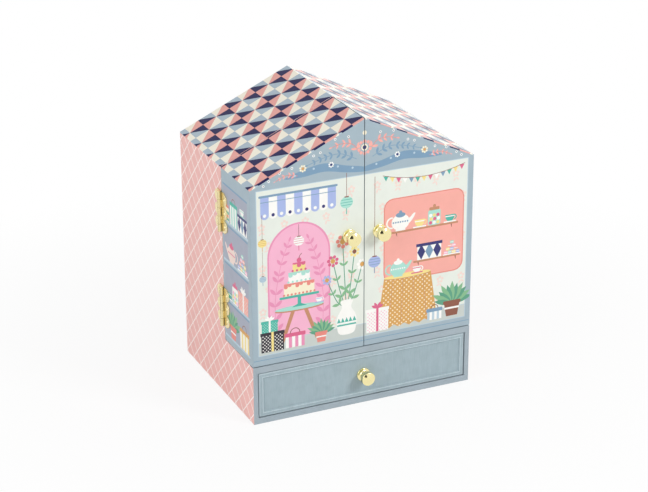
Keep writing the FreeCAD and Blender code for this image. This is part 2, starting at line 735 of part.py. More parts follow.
def build_movement_frame():
    """The fixed parts of the movement: frame, comb, screws and bushes."""
    half_upright = "frame_upright_width / 2"
    tall = ("plate_top", "upright_top")
    rear = "rear_upright + frame_plate"
    end = "comb_end + gear_spacing"
    plate = board("bedplate", (f"barrel_x - {half_upright}", end), ("front_upright", rear),
                  ("base_board", "plate_top"))
    uprights = [
        board("front_cheek", (f"fly_x - {half_upright}", half_upright),
              ("front_upright", "front_upright + frame_plate"), tall),
        board("governor_cheek", ("fly_x - 2 * fly_arbor_radius", "fly_x + 2 * fly_arbor_radius"),
              ("governor_upright", "governor_upright + frame_plate"), tall),
        board("barrel_cheek", (f"barrel_x - {half_upright}", f"barrel_x + {half_upright}"),
              ("barrel_upright", "barrel_upright + frame_plate"), tall),
        board("rear_cheek", ("barrel_x + barrel_radius + gear_spacing", half_upright),
              ("rear_upright", rear), tall),
        board("comb_block", ("comb_end - comb_root", "comb_end"), ("drum_front", "drum_rear"),
              ("plate_top", "comb_seat")),
    ]
    through = f"{rear} - (front_upright)"
    holes = [
        rod("cylinder_pivot", "Y", "arbor_radius + arbor_fit", through,
            "0", "front_upright", "arbor_height"),
        rod("fly_pivot", "Y", "fly_arbor_radius + arbor_fit",
            "governor_upright + frame_plate - (front_upright)", "fly_x", "front_upright", "arbor_height"),
        rod("barrel_pivot", "Y", "winding_arbor_radius + arbor_fit", "frame_plate",
            "barrel_x", "barrel_upright", "arbor_height"),
    ]
    holes += frame_screw_rods("plate_hole", "frame_screw_radius + screw_fit", "base_board", "plate_top")
    comb_screw_foot = "comb_seat - comb_screw_grip"
    comb_bore = "comb_screw_radius + screw_fit"
    holes += comb_screw_rods("block_hole", comb_bore, comb_screw_foot, "comb_seat")
    node(cut("frame_holed", fused("frame_pieces", [plate] + uprights), holes), "movement_frame")

    comb_sheet = doc.addObject("Part::Feature", "comb_sheet")
    comb_sheet.Shape = comb_shape()
    place(comb_sheet, "comb_tip", "drum_front", "comb_seat")
    comb_top = "comb_seat + comb_plate"
    comb_holes = comb_screw_rods("comb_hole", comb_bore, "comb_seat", comb_top)
    node(cut("comb_holed", comb_sheet, comb_holes), "comb")

    shanks = frame_screw_rods("frame_shank", "frame_screw_radius",
                              "base_board - frame_screw_depth", "plate_top")
    heads = frame_screw_rods("frame_head", "small_head_radius",
                             "plate_top", "plate_top + small_head_height")
    shanks += comb_screw_rods("comb_shank", "comb_screw_radius", comb_screw_foot, comb_top)
    heads += comb_screw_rods("comb_head", "small_head_radius", comb_top, f"{comb_top} + small_head_height")
    node(group("screws", [fused("movement_screw", pair) for pair in zip(shanks, heads)]), "movement_screws")

    spindle_tube = rod("spindle_tube", "Z", "bush_radius", "deck_board + bush_drop",
                       "0", "spindle_y", "deck_under - bush_drop")
    spindle_rim = rod("spindle_rim", "Z", "bush_radius + bush_flange", "bush_flange_height",
                      "0", "spindle_y", "deck_height")
    spindle_bore = rod("spindle_bore", "Z", "spindle_radius + arbor_fit",
                       "bush_flange_top - (deck_under) + bush_drop",
                       "0", "spindle_y", "deck_under - bush_drop")
    key_tube = rod("key_tube", "Y", "wind_bush_radius", "back_board",
                   "barrel_x", "bay_back", "arbor_height")
    key_rim = rod("key_rim", "Y", "wind_bush_radius + bush_flange", "bush_flange_height",
                  "barrel_x", "back_face", "arbor_height")
    key_bore = rod("key_bore", "Y", "winding_arbor_radius + arbor_fit", "back_board + bush_flange_height",
                   "barrel_x", "bay_back", "arbor_height")
    bushes = [
        cut("spindle_bush", fused("spindle_bush_solid", [spindle_tube, spindle_rim]), [spindle_bore]),
        cut("key_bush", fused("key_bush_solid", [key_tube, key_rim]), [key_bore]),
    ]
    node(group("bushes", bushes), "brass_bushes")


def comb_screw_rods(name, radius, bottom, top):
    """Upright rods at the two places where the comb is screwed to its block."""
    return [rod(name, "Z", radius, f"{top} - ({bottom})", "comb_screw_x", along, bottom)
            for along in ("drum_front + comb_screw_inset", "drum_rear - comb_screw_inset")]


def comb_shape():
    """The comb, its tooth tips at the origin and its teeth along +X, one tooth for each track."""
    tracks = int(size("drum_tracks"))
    pitch = size("drum_length") / tracks
    slot = size("comb_slot")
    reach = size("comb_length") - size("comb_root")
    points = []
    for track in range(tracks):
        low = track * pitch + (slot / 2 if track else 0)
        high = (track + 1) * pitch - (slot / 2 if track < tracks - 1 else 0)
        points += [(reach, low), (0, low), (0, high), (reach, high)]
    points += [(size("comb_length"), size("drum_length")), (size("comb_length"), 0)]
    outline = [FreeCAD.Vector(x, y) for x, y in points[1:] if (x, y) != (reach, size("drum_length"))]
    face = Part.Face(Part.makePolygon(outline + outline[:1]))
    return face.extrude(FreeCAD.Vector(0, 0, size("comb_plate")))


def build_barrel():
    """The spring barrel with its great wheel, the mainspring, the winding arbor and the key."""
    wheel = gear("great_wheel", "barrel_teeth", "gear_module", 0, size("gear_face"))
    place_on_y(wheel, "barrel_x", "great_wheel_front", "arbor_height")
    drum = rod("barrel_drum", "Y", "barrel_radius", "barrel_length",
               "barrel_x", "barrel_front", "arbor_height")
    hollow = rod("barrel_hollow", "Y", "barrel_radius - barrel_wall", "barrel_length - barrel_wall",
                 "barrel_x", "barrel_front + barrel_wall", "arbor_height")
    bore = rod("barrel_bore", "Y", "winding_arbor_radius + arbor_fit", "gear_face + barrel_length",
               "barrel_x", "great_wheel_front", "arbor_height")
    node(cut("barrel_hollowed", fused("barrel_solid", [wheel, drum]), [hollow, bore]), "spring_barrel")
    spring_length = "barrel_length - barrel_wall - spring_clearance"
    spring = rod("spring_pack", "Y", "barrel_radius - barrel_wall", spring_length,
                 "barrel_x", "barrel_front + barrel_wall", "arbor_height")
    eye = rod("spring_eye", "Y", "winding_arbor_radius + spring_clearance", spring_length,
              "barrel_x", "barrel_front + barrel_wall", "arbor_height")
    node(cut("spring_ring", spring, [eye]), "mainspring")
    node(rod("arbor_rod", "Y", "winding_arbor_radius", "key_front + key_socket - (barrel_upright)",
             "barrel_x", "barrel_upright", "arbor_height"), "winding_arbor")

    stem = rod("key_stem", "Y", "key_stem_radius", "key_stem_length",
               "barrel_x", "key_front", "arbor_height")
    wing_y = "key_end - key_wing_radius"
    low = "arbor_height - key_wing_plate / 2"
    offset = "key_stem_radius + key_wing_radius - key_stem_wall"
    wing_middles = [f"barrel_x {sign} ({offset})" for sign in SIGN.values()]
    wings = [rod("key_wing", "Z", "key_wing_radius", "key_wing_plate", x, wing_y, low)
             for x in wing_middles]
    eyes = [rod("key_eye", "Z", "key_wing_hole", "key_wing_plate", x, wing_y, low)
            for x in wing_middles]
    socket = rod("key_socket_bore", "Y", "winding_arbor_radius", "key_socket",
                 "barrel_x", "key_front", "arbor_height")
    node(cut("key_cut", fused("key_solid", [stem] + wings), eyes + [socket]), "winding_key")


def build_cylinder():
    """The cylinder's arbor with pinion, wheel and crown wheel, and the pinned drum on it."""
    arbor = rod("arbor", "Y", "arbor_radius", "rear_upright + frame_plate - (crown_root)",
                "0", "crown_root", "arbor_height")
    pinion = gear("cylinder_pinion", "cylinder_pinion_teeth", "gear_module",
                  half_pitch("cylinder_pinion_teeth"), size("gear_face") + size("pinion_extra"))
    place_on_y(pinion, "0", "pinion_front", "arbor_height")
    wheel = gear("cylinder_wheel", "cylinder_wheel_teeth", "gear_module", 0, size("gear_face"))
    place_on_y(wheel, "0", "wheel_front", "arbor_height")
    crown_disc = rod("crown_disc", "Y", "crown_pitch + crown_face / 2", "crown_disc",
                     "0", "crown_root", "arbor_height")
    teeth = doc.addObject("Part::Feature", "crown_teeth")
    teeth.Shape = crown_teeth()
    place_on_y(teeth, "0", "crown_root", "arbor_height")
    node(fused("cylinder_train", [arbor, pinion, wheel, crown_disc, teeth]), "cylinder_arbor")

    drum = doc.addObject("Part::Feature", "pinned_drum")
    drum.Shape = pinned_drum()
    place_on_y(drum, "0", "drum_front", "arbor_height")
    node(drum, "music_cylinder")


def crown_teeth():
    """Radial teeth of the crown wheel, standing towards -Z and rooted a little in the disc."""
    count = int(size("crown_teeth"))
    module = size("crown_module")
    middle = module * count / 2
    near = middle - size("crown_face") / 2
    far = middle + size("crown_face") / 2
    depth = (1 + DEDENDUM) * module
    flank = math.tan(math.radians(PRESSURE_ANGLE))
    tip = size("crown_tooth_width") / 2 - module * flank
    foot = size("crown_tooth_width") / 2 + DEDENDUM * module * flank
    rooted = size("crown_tooth_root")
    section = [(foot, rooted), (foot, 0), (tip, -depth), (-tip, -depth), (-foot, 0), (-foot, rooted)]
    outline = [FreeCAD.Vector(near, across, up) for across, up in section]
    section_face = Part.Face(Part.makePolygon(outline + outline[:1]))
    tooth = section_face.extrude(FreeCAD.Vector(far - near, 0, 0))
    turned = []
    for index in range(count):
        copy = tooth.copy()
        copy.rotate(FreeCAD.Vector(), FreeCAD.Vector(0, 0, 1), 360 * index / count)
        turned.append(copy)
    return Part.makeCompound(turned)


def pinned_drum():
    """The drum along +Z with its bore and its rows of pins, spread by the golden angle."""
    radius = size("drum_radius")
    length = size("drum_length")
    tracks = int(size("drum_tracks"))
    rows = int(size("pins_per_track"))
    buried = size("pin_root")
    barrel = Part.makeCylinder(radius, length)
    bore = Part.makeCylinder(size("arbor_radius") + size("arbor_fit"), length)
    pins = []
    for index in range(tracks * rows):
        height = (index % tracks + 0.5) * length / tracks
        angle = math.radians(index * GOLDEN_ANGLE)
        outward = FreeCAD.Vector(math.cos(angle), math.sin(angle), 0)
        start = outward * (radius - buried) + FreeCAD.Vector(0, 0, height)
        pins.append(Part.makeCylinder(size("pin_radius"), buried + size("pin_height"), start, outward))
    return barrel.cut(bore).fuse(pins)


def build_governor():
    """The fly: a pinion and four vanes on a thin arbor."""
    arbor = rod("fly_arbor", "Y", "fly_arbor_radius", "governor_upright + frame_plate - (fly_front)",
                "fly_x", "fly_front", "arbor_height")
    pinion = gear("fly_pinion", "fly_pinion_teeth", "gear_module", half_pitch("fly_pinion_teeth"),
                  size("gear_face") + size("pinion_extra"))
    place_on_y(pinion, "fly_x", "fly_pinion_front", "arbor_height")
    along = ("fly_front", "fly_front + fly_length")
    thin = ("-fly_vane / 2", "fly_vane / 2")
    wide = ("-fly_radius", "fly_radius")

    def about(centre, ends):
        return tuple(f"{centre} + ({end})" for end in ends)

    vanes = [board("fly_vane_flat", about("fly_x", wide), along, about("arbor_height", thin)),
             board("fly_vane_upright", about("fly_x", thin), along, about("arbor_height", wide))]
    node(fused("fly", [arbor, pinion] + vanes), "governor_fly")


def build_stop_wire():
    """The bent wire that the left door pushes back to brake the fly."""
    bead = "stop_wire_radius"
    run = rod("wire_run", "Y", bead, "stop_back - (stop_front)", "stop_x", "stop_front", "stop_level")
    feeler = rod("wire_feeler", "Z", bead, "stop_top - (stop_level)", "stop_x", "stop_front", "stop_level")
    brake = rod("wire_brake", "Z", bead, "stop_level - (stop_tip)", "stop_x", "stop_back", "stop_tip")
    elbows = []
    for end in ("stop_front", "stop_back"):
        ball = doc.addObject("Part::Sphere", "wire_elbow")
        bind(ball, Radius=bead)
        elbows.append(place(ball, "stop_x", end, "stop_level"))
    node(fused("wire", [run, feeler, brake] + elbows), "stop_wire")


def build_dancer():
    """Spindle, stage disc, dancer and tutu."""
    half_face = "(crown_face / 2 + pinion_extra / 2)"
    foot = f"spindle_mesh - {half_face}"
    stem = rod("spindle_stem", "Z", "spindle_radius", f"stage_bottom - ({foot})", "0", "spindle_y", foot)
    pinion = gear("spindle_pinion", "spindle_pinion_teeth", "crown_module",
                  half_pitch("spindle_pinion_teeth"), size("crown_face") + size("pinion_extra"))
    place(pinion, "0", "spindle_y", foot)
    node(fused("spindle", [stem, pinion]), "dancer_spindle")
    disc = rod("disc", "Z", "stage_radius", "stage_thickness", "0", "spindle_y", "stage_bottom")
    node(disc, "stage_disc")

    def ball(name, across, upward, y, z):
        ellipsoid = doc.addObject("Part::Ellipsoid", name)
        ellipsoid.Angle1 = -90
        bind(ellipsoid, Radius1=upward, Radius2=across, Radius3=across)
        return place(ellipsoid, "0", y, z)

    def taper(name, low, high, length, x, y, z):
        cone = doc.addObject("Part::Cone", name)
        bind(cone, Radius1=low, Radius2=high, Height=length)
        return place(cone, x, y, z)

    pieces = [taper("leg", "leg_toe_radius", "leg_hip_radius", "leg_length",
                    f"{sign}leg_step / 2", f"spindle_y {sign} leg_step / 2", "stage_top")
              for sign in SIGN.values()]
    pieces += [
        ball("hips", "hip_radius", "hip_radius", "spindle_y", "hip_height"),
        taper("lower_torso", "hip_radius", "waist_radius", "waist_height", "0", "spindle_y", "hip_height"),
        taper("upper_torso", "waist_radius", "chest_radius", "chest_height - waist_height",
              "0", "spindle_y", "waist_level"),
        ball("chest", "chest_radius", "torso_length - chest_height", "spindle_y", "chest_level"),
        rod("neck", "Z", "neck_radius", "neck_length + neck_root",
            "0", "spindle_y", "shoulder_height - neck_root"),
        ball("head", "head_radius", "head_half_height", "spindle_y", "head_height"),
        ball("bun", "bun_radius", "bun_radius", "spindle_y + bun_setback", "head_height + bun_lift"),
    ]
    shoulder_drop = math.degrees(math.acos(size("shoulder_reach") / size("arm_ring_radius")))
    sweep = 90 + shoulder_drop - size("hand_gap_angle") / 2
    ring_middle = "chest_level + sqrt(arm_ring_radius ^ 2 - shoulder_reach ^ 2)"
    upright = FreeCAD.Rotation(FreeCAD.Vector(1, 0, 0), 90)
    for start in (-shoulder_drop, 180 + shoulder_drop - sweep):
        arm = doc.addObject("Part::Torus", "arm")
        bind(arm, Radius1="arm_ring_radius", Radius2="arm_radius")
        arm.Angle3 = sweep
        turn = upright.multiply(FreeCAD.Rotation(FreeCAD.Vector(0, 0, 1), start))
        pieces.append(place(arm, "0", "spindle_y", ring_middle, turn))
    node(fused("figure", pieces), "ballerina_figure")

    skirt_bottom = "tutu_top - tutu_drop - tutu_thickness"
    outer = taper("tutu_outer", "tutu_radius", "hip_radius + tutu_thickness", "tutu_drop", "0", "spindle_y",
                  "tutu_top - tutu_drop")
    inner = taper("tutu_inner", "tutu_radius", "hip_radius + tutu_thickness", "tutu_drop", "0", "spindle_y",
                  skirt_bottom)
    hole = rod("tutu_hole", "Z", "tutu_hole", "tutu_drop + tutu_thickness", "0", "spindle_y", skirt_bottom)
    node(cut("tutu_sheet", outer, [inner, hole]), "tutu")


def write_parts():
    """Checks every object and piece, then writes one file for each piece."""
    doc.recompute()
    for thing in doc.Objects:
        if "Invalid" in thing.State or "Error" in thing.State:
            raise RuntimeError(f"{thing.Label} failed: {thing.State}")
    for piece in nodes:
        if piece.Shape.isNull() or not piece.Shape.isValid():
            raise RuntimeError(f"{piece.Label} has no valid shape")
    os.makedirs("parts", exist_ok=True)
    for piece in nodes:
        piece.Shape.exportStep(os.path.join("parts", f"{piece.Label}.step"))
    print(f"{len(nodes)} pieces written")


build_case()
build_hinges()
for door_side in SIDES:
    build_door(door_side)
build_drawer()
build_movement_frame()
build_barrel()
build_cylinder()
build_governor()
build_stop_wire()
build_dancer()
write_parts()
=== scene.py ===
"""Looks of the ballerina jewellery box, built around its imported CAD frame.

Lengths are millimetres and angles degrees unless a name says otherwise. Meshes are in metres in the CAD
frame: the origin is the middle of the underside, +Z is up and the front faces -Y.
"""
import logging
import math
import random
from contextlib import contextmanager
from dataclasses import dataclass, field, replace
from enum import Enum
from typing import Callable, Iterator, Optional, Self, Sequence, Union

import bmesh
import bpy
from mathutils import Matrix, Vector
from mathutils.geometry import delaunay_2d_cdt

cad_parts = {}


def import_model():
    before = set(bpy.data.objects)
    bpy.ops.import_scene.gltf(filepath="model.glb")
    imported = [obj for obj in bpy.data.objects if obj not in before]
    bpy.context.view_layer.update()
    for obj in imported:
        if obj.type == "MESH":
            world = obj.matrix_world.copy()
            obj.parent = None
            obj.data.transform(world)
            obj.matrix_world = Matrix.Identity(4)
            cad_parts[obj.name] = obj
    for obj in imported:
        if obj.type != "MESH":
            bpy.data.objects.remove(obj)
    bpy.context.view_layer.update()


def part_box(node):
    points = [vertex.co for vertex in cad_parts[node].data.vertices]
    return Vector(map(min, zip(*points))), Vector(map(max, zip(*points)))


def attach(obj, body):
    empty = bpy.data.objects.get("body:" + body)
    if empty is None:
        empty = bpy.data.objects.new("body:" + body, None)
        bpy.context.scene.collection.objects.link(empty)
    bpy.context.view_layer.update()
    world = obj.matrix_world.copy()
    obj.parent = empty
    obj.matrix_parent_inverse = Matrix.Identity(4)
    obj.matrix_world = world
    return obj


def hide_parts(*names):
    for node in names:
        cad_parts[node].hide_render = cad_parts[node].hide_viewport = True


MM = 0.001
# Distances within which points count as one: in tests, in meshes from the CAD and after a boolean.
NEAR = 0.1
CAD_MERGE = 0.002
CARVED_MERGE = 0.005
# The angle below which faces count as one flat face, and the least angle of a sharp edge on a turned piece.
FLAT_ANGLE = 0.5
TURNED_SHARP = 40.0
# The share of an axis in the normal of a face that looks along it, or more along it than not.
FACING = 0.9
MOSTLY = 0.5
# The kind of triangulation that keeps only what lies inside an outline.
INSIDE_ONLY = 1
PAPER_UV = "paper"
INK_LAYER = "ink"
LOG = logging.getLogger("jewellery_box")

BMesh = bmesh.types.BMesh
Face = bmesh.types.BMFace
Object = bpy.types.Object
Socket = bpy.types.NodeSocket
Tree = bpy.types.NodeTree
Point = tuple[float, float]
Outline = list[Point]
Spot = tuple[float, float, float]
Colour = tuple[float, float, float, float]

WHITE: Colour = (1.0, 1.0, 1.0, 1.0)
WORN: Colour = (0.45, 0.45, 0.45, 1.0)


class Side(Enum):
    """A side of the box, seen from the front."""

    LEFT = -1
    RIGHT = 1

    @property
    def word(self) -> str:
        """The side's name, as in the names of CAD nodes."""
        return self.name.lower()


class Cut(Enum):
    """What a boolean does with its tools."""

    TAKE = "DIFFERENCE"
    JOIN = "UNION"


class Plane(Enum):
    """The plane that an outline is drawn on; its value is the number of the third axis."""

    YZ = 0
    XZ = 1
    XY = 2

    def spot(self, point: Sequence[float], depth: float) -> Spot:
        """Places a point of the plane in space, at a depth along the third axis."""
        return (*point[:self.value], depth, *point[self.value:])


def linear(colour: str) -> Colour:
    """Turns an sRGB hex value to linear colour with full alpha."""
    parts = [int(colour[start:start + 2], 16) / 255 for start in (1, 3, 5)]
    return (*(part / 12.92 if part <= 0.04045 else ((part + 0.055) / 1.055) ** 2.4 for part in parts), 1.0)


def add_node(tree: Tree, kind: str, *inputs: object, **settings: object) -> Optional[Socket]:
    """Adds a node with its settings, input values and links.

    Args:
        tree: The node tree.
        kind: The node's type, without the name of its family.
        inputs: Sockets to link or values to set, for the inputs in order, or in a dict by name or number.
        settings: Properties of the node.

    Returns:
        The node's first output in use, whose own node gives the others, or None where it has no output.
    """
    family = next(name for name in ("ShaderNode", "GeometryNode", "Node") if hasattr(bpy.types, name + kind))
    node = tree.nodes.new(family + kind)
    for name, value in settings.items():
        setattr(node, name, value)
    for order, given in enumerate(inputs):
        for key, value in (given if isinstance(given, dict) else {order: given}).items():
            if isinstance(value, Socket):
                tree.links.new(value, node.inputs[key])
            else:
                node.inputs[key].default_value = value
    return next((output for output in node.outputs if output.enabled), None)


def emptied(owner: Union[bpy.types.Material, bpy.types.World]) -> Tree:
    """Empties the node tree of a new material or world.

    Args:
        owner: The material or world.

    Returns:
        Its node tree.
    """
    owner.use_nodes = True
    owner.node_tree.nodes.clear()
    return owner.node_tree


def node_box(node: str) -> tuple[Vector, Vector]:
    """The lowest and highest corner of a CAD node, in millimetres."""
    low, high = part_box(node)
    return low / MM, high / MM


@dataclass(frozen=True)
class Finish:
    """A plain finish: one colour, a little worn in clouds, on a surface with a fine grain.

    Most such grains are finer than a tenth of a millimetre; they are drawn coarser, so that they show.
    """

    name: str
    colour: str
    roughness: float = 0.5
    metallic: float = 0.0
    coat: float = 0.0
    specular: float = 0.5
    grain: float = 0.6
    grain_depth: float = 0.01
    mottle: float = 0.12
    mottle_size: float = 7.0

    def material(self) -> bpy.types.Material:
        """The material of this finish, made the first time that it is asked for."""
        return bpy.data.materials.get(self.name) or self.make()

    def make(self) -> bpy.types.Material:
        """Builds the material: a shader, its paint with the wear on it, and its relief.

        Returns:
            The new material.
        """
        material = bpy.data.materials.new(self.name)
        tree = emptied(material)
        place = add_node(tree, "TexCoord").node.outputs["Object"]
        cloud = add_node(tree, "TexNoise", {
            "Vector": place, "Scale": 1 / (self.mottle_size * MM), "Detail": 4.0,
        })
        wear = add_node(tree, "MapRange", {
            "Value": cloud, "From Min": 0.4, "From Max": 0.7, "To Max": self.mottle,
        })
        look = {
            "Base Color": add_node(tree, "Mix", {0: wear, 6: self.paint(tree), 7: WORN}, data_type="RGBA",
                                   blend_type="MULTIPLY"),
            "Roughness": add_node(tree, "Math", wear, self.roughness, operation="ADD"),
            "Metallic": self.metallic,
            "Specular IOR Level": self.specular,
            "Coat Weight": self.coat,
        }
        if self.grain_depth > 0:
            look["Normal"] = add_node(tree, "Bump", {
                "Height": self.relief(tree), "Strength": 0.5, "Distance": self.grain_depth * MM,
            })
        add_node(tree, "OutputMaterial", {"Surface": add_node(tree, "BsdfPrincipled", look)})
        return material

    def paint(self, tree: Tree) -> Union[Socket, Colour]:
        """The colour of the finish: a value, or a socket that a pattern ends in."""
        return linear(self.colour)

    def relief(self, tree: Tree) -> Socket:
        """The height of the fine grain."""
        place = add_node(tree, "TexCoord").node.outputs["Object"]
        return add_node(tree, "TexNoise", {"Vector": place, "Scale": 1 / (self.grain * MM), "Detail": 2.0})


def cell_offset(tree: Tree, period: Point, origin: Point, turn: float) -> Socket:
    """Where a point of the paper lies in its repeat, from -0.5 to 0.5 both ways.

    Args:
        tree: The node tree.
        period: The repeat's two lengths.
        origin: The paper coordinates of the middle of one repeat.
        turn: How far the repeats are turned on the paper.

    Returns:
        A vector socket.
    """
    turned = add_node(tree, "VectorRotate", {
        "Vector": add_node(tree, "UVMap", uv_map=PAPER_UV), "Center": (*origin, 0.0),
        "Angle": math.radians(turn),
    }, rotation_type="Z_AXIS")
    scaled = add_node(tree, "Mapping", {
        "Vector": turned,
        "Location": (0.5 - origin[0] / period[0], 0.5 - origin[1] / period[1], 0.0),
        "Scale": (1 / period[0], 1 / period[1], 1.0),
    })
    cell = add_node(tree, "VectorMath", scaled, operation="FRACTION")
    return add_node(tree, "VectorMath", cell, (0.5, 0.5, 0.0), operation="SUBTRACT")


@dataclass(frozen=True)
class QuiltPaper(Finish):
    """Roof paper: half-square triangles in four colours, in turned blocks."""

    dark: str = "#18144f"
    cool: str = "#afc0cd"
    pale: str = "#faf4e3"
    period: Point = (23.9, 22.67)
    origin: Point = (10.5, 9.9)

    def paint(self, tree: Tree) -> Socket:
        """Two colours in a diamond round each middle and two outside it, each pair in opposite quarters.

        Args:
            tree: The node tree.

        Returns:
            A colour socket.
        """
        offset = cell_offset(tree, self.period, self.origin, 0.0)
        signed = add_node(tree, "SeparateXYZ", offset).node.outputs
        size = add_node(tree, "VectorMath", offset, operation="ABSOLUTE")
        plain = add_node(tree, "SeparateXYZ", size).node.outputs
        product = add_node(tree, "Math", signed[0], signed[1], operation="MULTIPLY")
        quarter = add_node(tree, "Math", product, 0.0, operation="GREATER_THAN")
        reach = add_node(tree, "Math", plain[0], plain[1], operation="ADD")
        inside = add_node(tree, "Math", reach, 0.5, operation="LESS_THAN")
        corner, diamond = (
            add_node(tree, "Mix", {0: quarter, 6: linear(first), 7: linear(second)}, data_type="RGBA")
            for first, second in ((self.pale, self.cool), (self.colour, self.dark)))
        return add_node(tree, "Mix", {0: inside, 6: corner, 7: diamond}, data_type="RGBA")


@dataclass(frozen=True)
class TrellisPaper(Finish):
    """Wall paper: a diagonal trellis of thin pale lines on a tint."""

    line: str = "#fff0ec"
    spacing: float = 9.9
    width: float = 0.85
    origin: Point = (3.0, 2.0)

    def paint(self, tree: Tree) -> Socket:
        """Lines along the edges of square cells that stand on their corners.

        Args:
            tree: The node tree.

        Returns:
            A colour socket.
        """
        offset = cell_offset(tree, (self.spacing, self.spacing), self.origin, 45.0)
        size = add_node(tree, "VectorMath", offset, operation="ABSOLUTE")
        plain = add_node(tree, "SeparateXYZ", size).node.outputs
        furthest = add_node(tree, "Math", plain[0], plain[1], operation="MAXIMUM")
        edge = 0.5 - self.width / self.spacing / 2
        on_line = add_node(tree, "Math", furthest, edge, operation="GREATER_THAN")
        colours = {0: on_line, 6: linear(self.colour), 7: linear(self.line)}
        return add_node(tree, "Mix", colours, data_type="RGBA")


@dataclass(frozen=True)
class DottedPaper(Finish):
    """Lining paper: small round dots in turned rows on a tint."""

    dot: str = "#fdf3ee"
    spacing: float = 6.0
    radius: float = 0.8

    def paint(self, tree: Tree) -> Socket:
        """A dot in the middle of each turned square cell.

        Args:
            tree: The node tree.

        Returns:
            A colour socket.
        """
        offset = cell_offset(tree, (self.spacing, self.spacing), (0.0, 0.0), 45.0)
        reach = add_node(tree, "VectorMath", offset, operation="LENGTH")
        on_dot = add_node(tree, "Math", reach, self.radius / self.spacing, operation="LESS_THAN")
        colours = {0: on_dot, 6: linear(self.colour), 7: linear(self.dot)}
        return add_node(tree, "Mix", colours, data_type="RGBA")


@dataclass(frozen=True)
class LinenPaper(Finish):
    """Book linen: a plain weave whose upright threads have slubs, under a matt size.

    Real threads are about 0.4 mm apart; they are drawn coarser so that they show.
    """

    shade: str = "#9db0b7"
    thread: float = 0.9
    slub_width: float = 0.5
    slub_length: float = 7.0

    def paint(self, tree: Tree) -> Socket:
        """Upright streaks, lighter and darker, from the uneven threads.

        Args:
            tree: The node tree.

        Returns:
            A colour socket.
        """
        along = 1 / (self.slub_length * MM)
        stretched = add_node(tree, "Mapping", {
            "Vector": add_node(tree, "TexCoord").node.outputs["Object"],
            "Scale": (1 / (self.slub_width * MM), along, along),
        })
        slub = add_node(tree, "TexNoise", {"Vector": stretched, "Scale": 1.0, "Detail": 3.0})
        spread = add_node(tree, "MapRange", {"Value": slub, "From Min": 0.3, "From Max": 0.7})
        colours = {0: spread, 6: linear(self.shade), 7: linear(self.colour)}
        return add_node(tree, "Mix", colours, data_type="RGBA")

    def relief(self, tree: Tree) -> Socket:
        """The height of the threads, which run both ways.

        Args:
            tree: The node tree.

        Returns:
            A value socket.
        """
        place = add_node(tree, "TexCoord").node.outputs["Object"]
        look = {"Vector": place, "Scale": math.tau / 20 / (self.thread * MM), "Distortion": 0.6}
        upright, across = (
            add_node(tree, "TexWave", look, bands_direction=way).node.outputs["Fac"] for way in "XZ")
        return add_node(tree, "Math", upright, across, operation="ADD")


@dataclass(frozen=True)
class PrintedPaper(Finish):
    """Art paper printed in flat inks, each face's colour held in its own attribute."""

    def paint(self, tree: Tree) -> Socket:
        """The ink of each printed shape."""
        return add_node(tree, "VertexColor", layer_name=INK_LAYER)


@dataclass(frozen=True)
class NetCloth(Finish):
    """Stiff open net: threads round cells that are mostly clear.

    Real cells are finer; they are drawn coarser, so that they show.
    """

    cell: float = 0.75
    thread: float = 0.2
    clear: float = 0.6
    sheen: float = 0.3
    glow: float = 0.4

    def make(self) -> bpy.types.Material:
        """Mixes the threads' sheen and glow with the clear cells between them.

        Returns:
            The new material.
        """
        material = bpy.data.materials.new(self.name)
        tree = emptied(material)
        thread = add_node(tree, "BsdfPrincipled", {
            "Base Color": linear(self.colour), "Roughness": self.roughness, "Sheen Weight": self.sheen,
        })
        glow = add_node(tree, "BsdfTranslucent", {"Color": linear(self.colour)})
        cloth = add_node(tree, "MixShader", self.glow, thread, glow)
        cells = add_node(tree, "TexVoronoi", {
            "Vector": add_node(tree, "TexCoord").node.outputs["Object"], "Scale": 1 / (self.cell * MM),
        }, feature="DISTANCE_TO_EDGE")
        hole = add_node(tree, "Math", cells, self.thread / self.cell / 2, operation="GREATER_THAN")
        open_share = add_node(tree, "Math", hole, self.clear, operation="MULTIPLY")
        net = add_node(tree, "MixShader", open_share, cloth, add_node(tree, "BsdfTransparent"))
        add_node(tree, "OutputMaterial", {"Surface": net})
        return material


# Covering paper: machine-made, sized and matt, over greyboard. It shows a faint tooth and soft edges.
GREY_BLUE_PAPER = Finish("grey_blue_cover_paper", "#a2b4be", roughness=0.55, specular=0.3)
RIM_PAPER = Finish("grey_rim_paper", "#a3b0b8", roughness=0.55, specular=0.3)
# Roof paper: calendered, so it shines at a low angle and is matt from above.
ROOF_PAPER = QuiltPaper("quilt_printed_paper", "#ecaaa2", roughness=0.3, specular=0.11, mottle=0.06)
# Wall paper: printed on the covering paper, with the same faint tooth.
TRELLIS_PAPER = TrellisPaper("trellis_printed_paper", "#efbbb5", roughness=0.5, specular=0.3, mottle=0.08)
# Lining paper: thin uncoated paper, so it is the most matt of the papers.
LINING_PAPER = DottedPaper("dotted_lining_paper", "#f1d0d0", roughness=0.65, specular=0.3, mottle=0.06)
PLAIN_LINING = Finish("plain_lining_paper", "#efe6dc", roughness=0.7, specular=0.3)
# Drawer cloth: book linen, whose uneven upright threads show as streaks; a paler copy of it on the moulding's
# chamfer and bead is a painted highlight.
DRAWER_LINEN = LinenPaper("grey_blue_book_linen", "#a6b7be", roughness=0.7, specular=0.3, grain_depth=0.05)
# Paler linen for the chamfer and bead of the drawer's moulding: a painted highlight.
HIGHLIGHT_PAINTED_LINEN = LinenPaper("rubbed_book_linen", "#bccbd1", shade="#afc0c7", roughness=0.6, grain_depth=0.04)
# Printed paper: smooth art paper with flat offset inks under a thin satin varnish.
PRINTED_PAPER = PrintedPaper("offset_printed_paper", "#ffffff", roughness=0.45, specular=0.3, mottle=0.05)
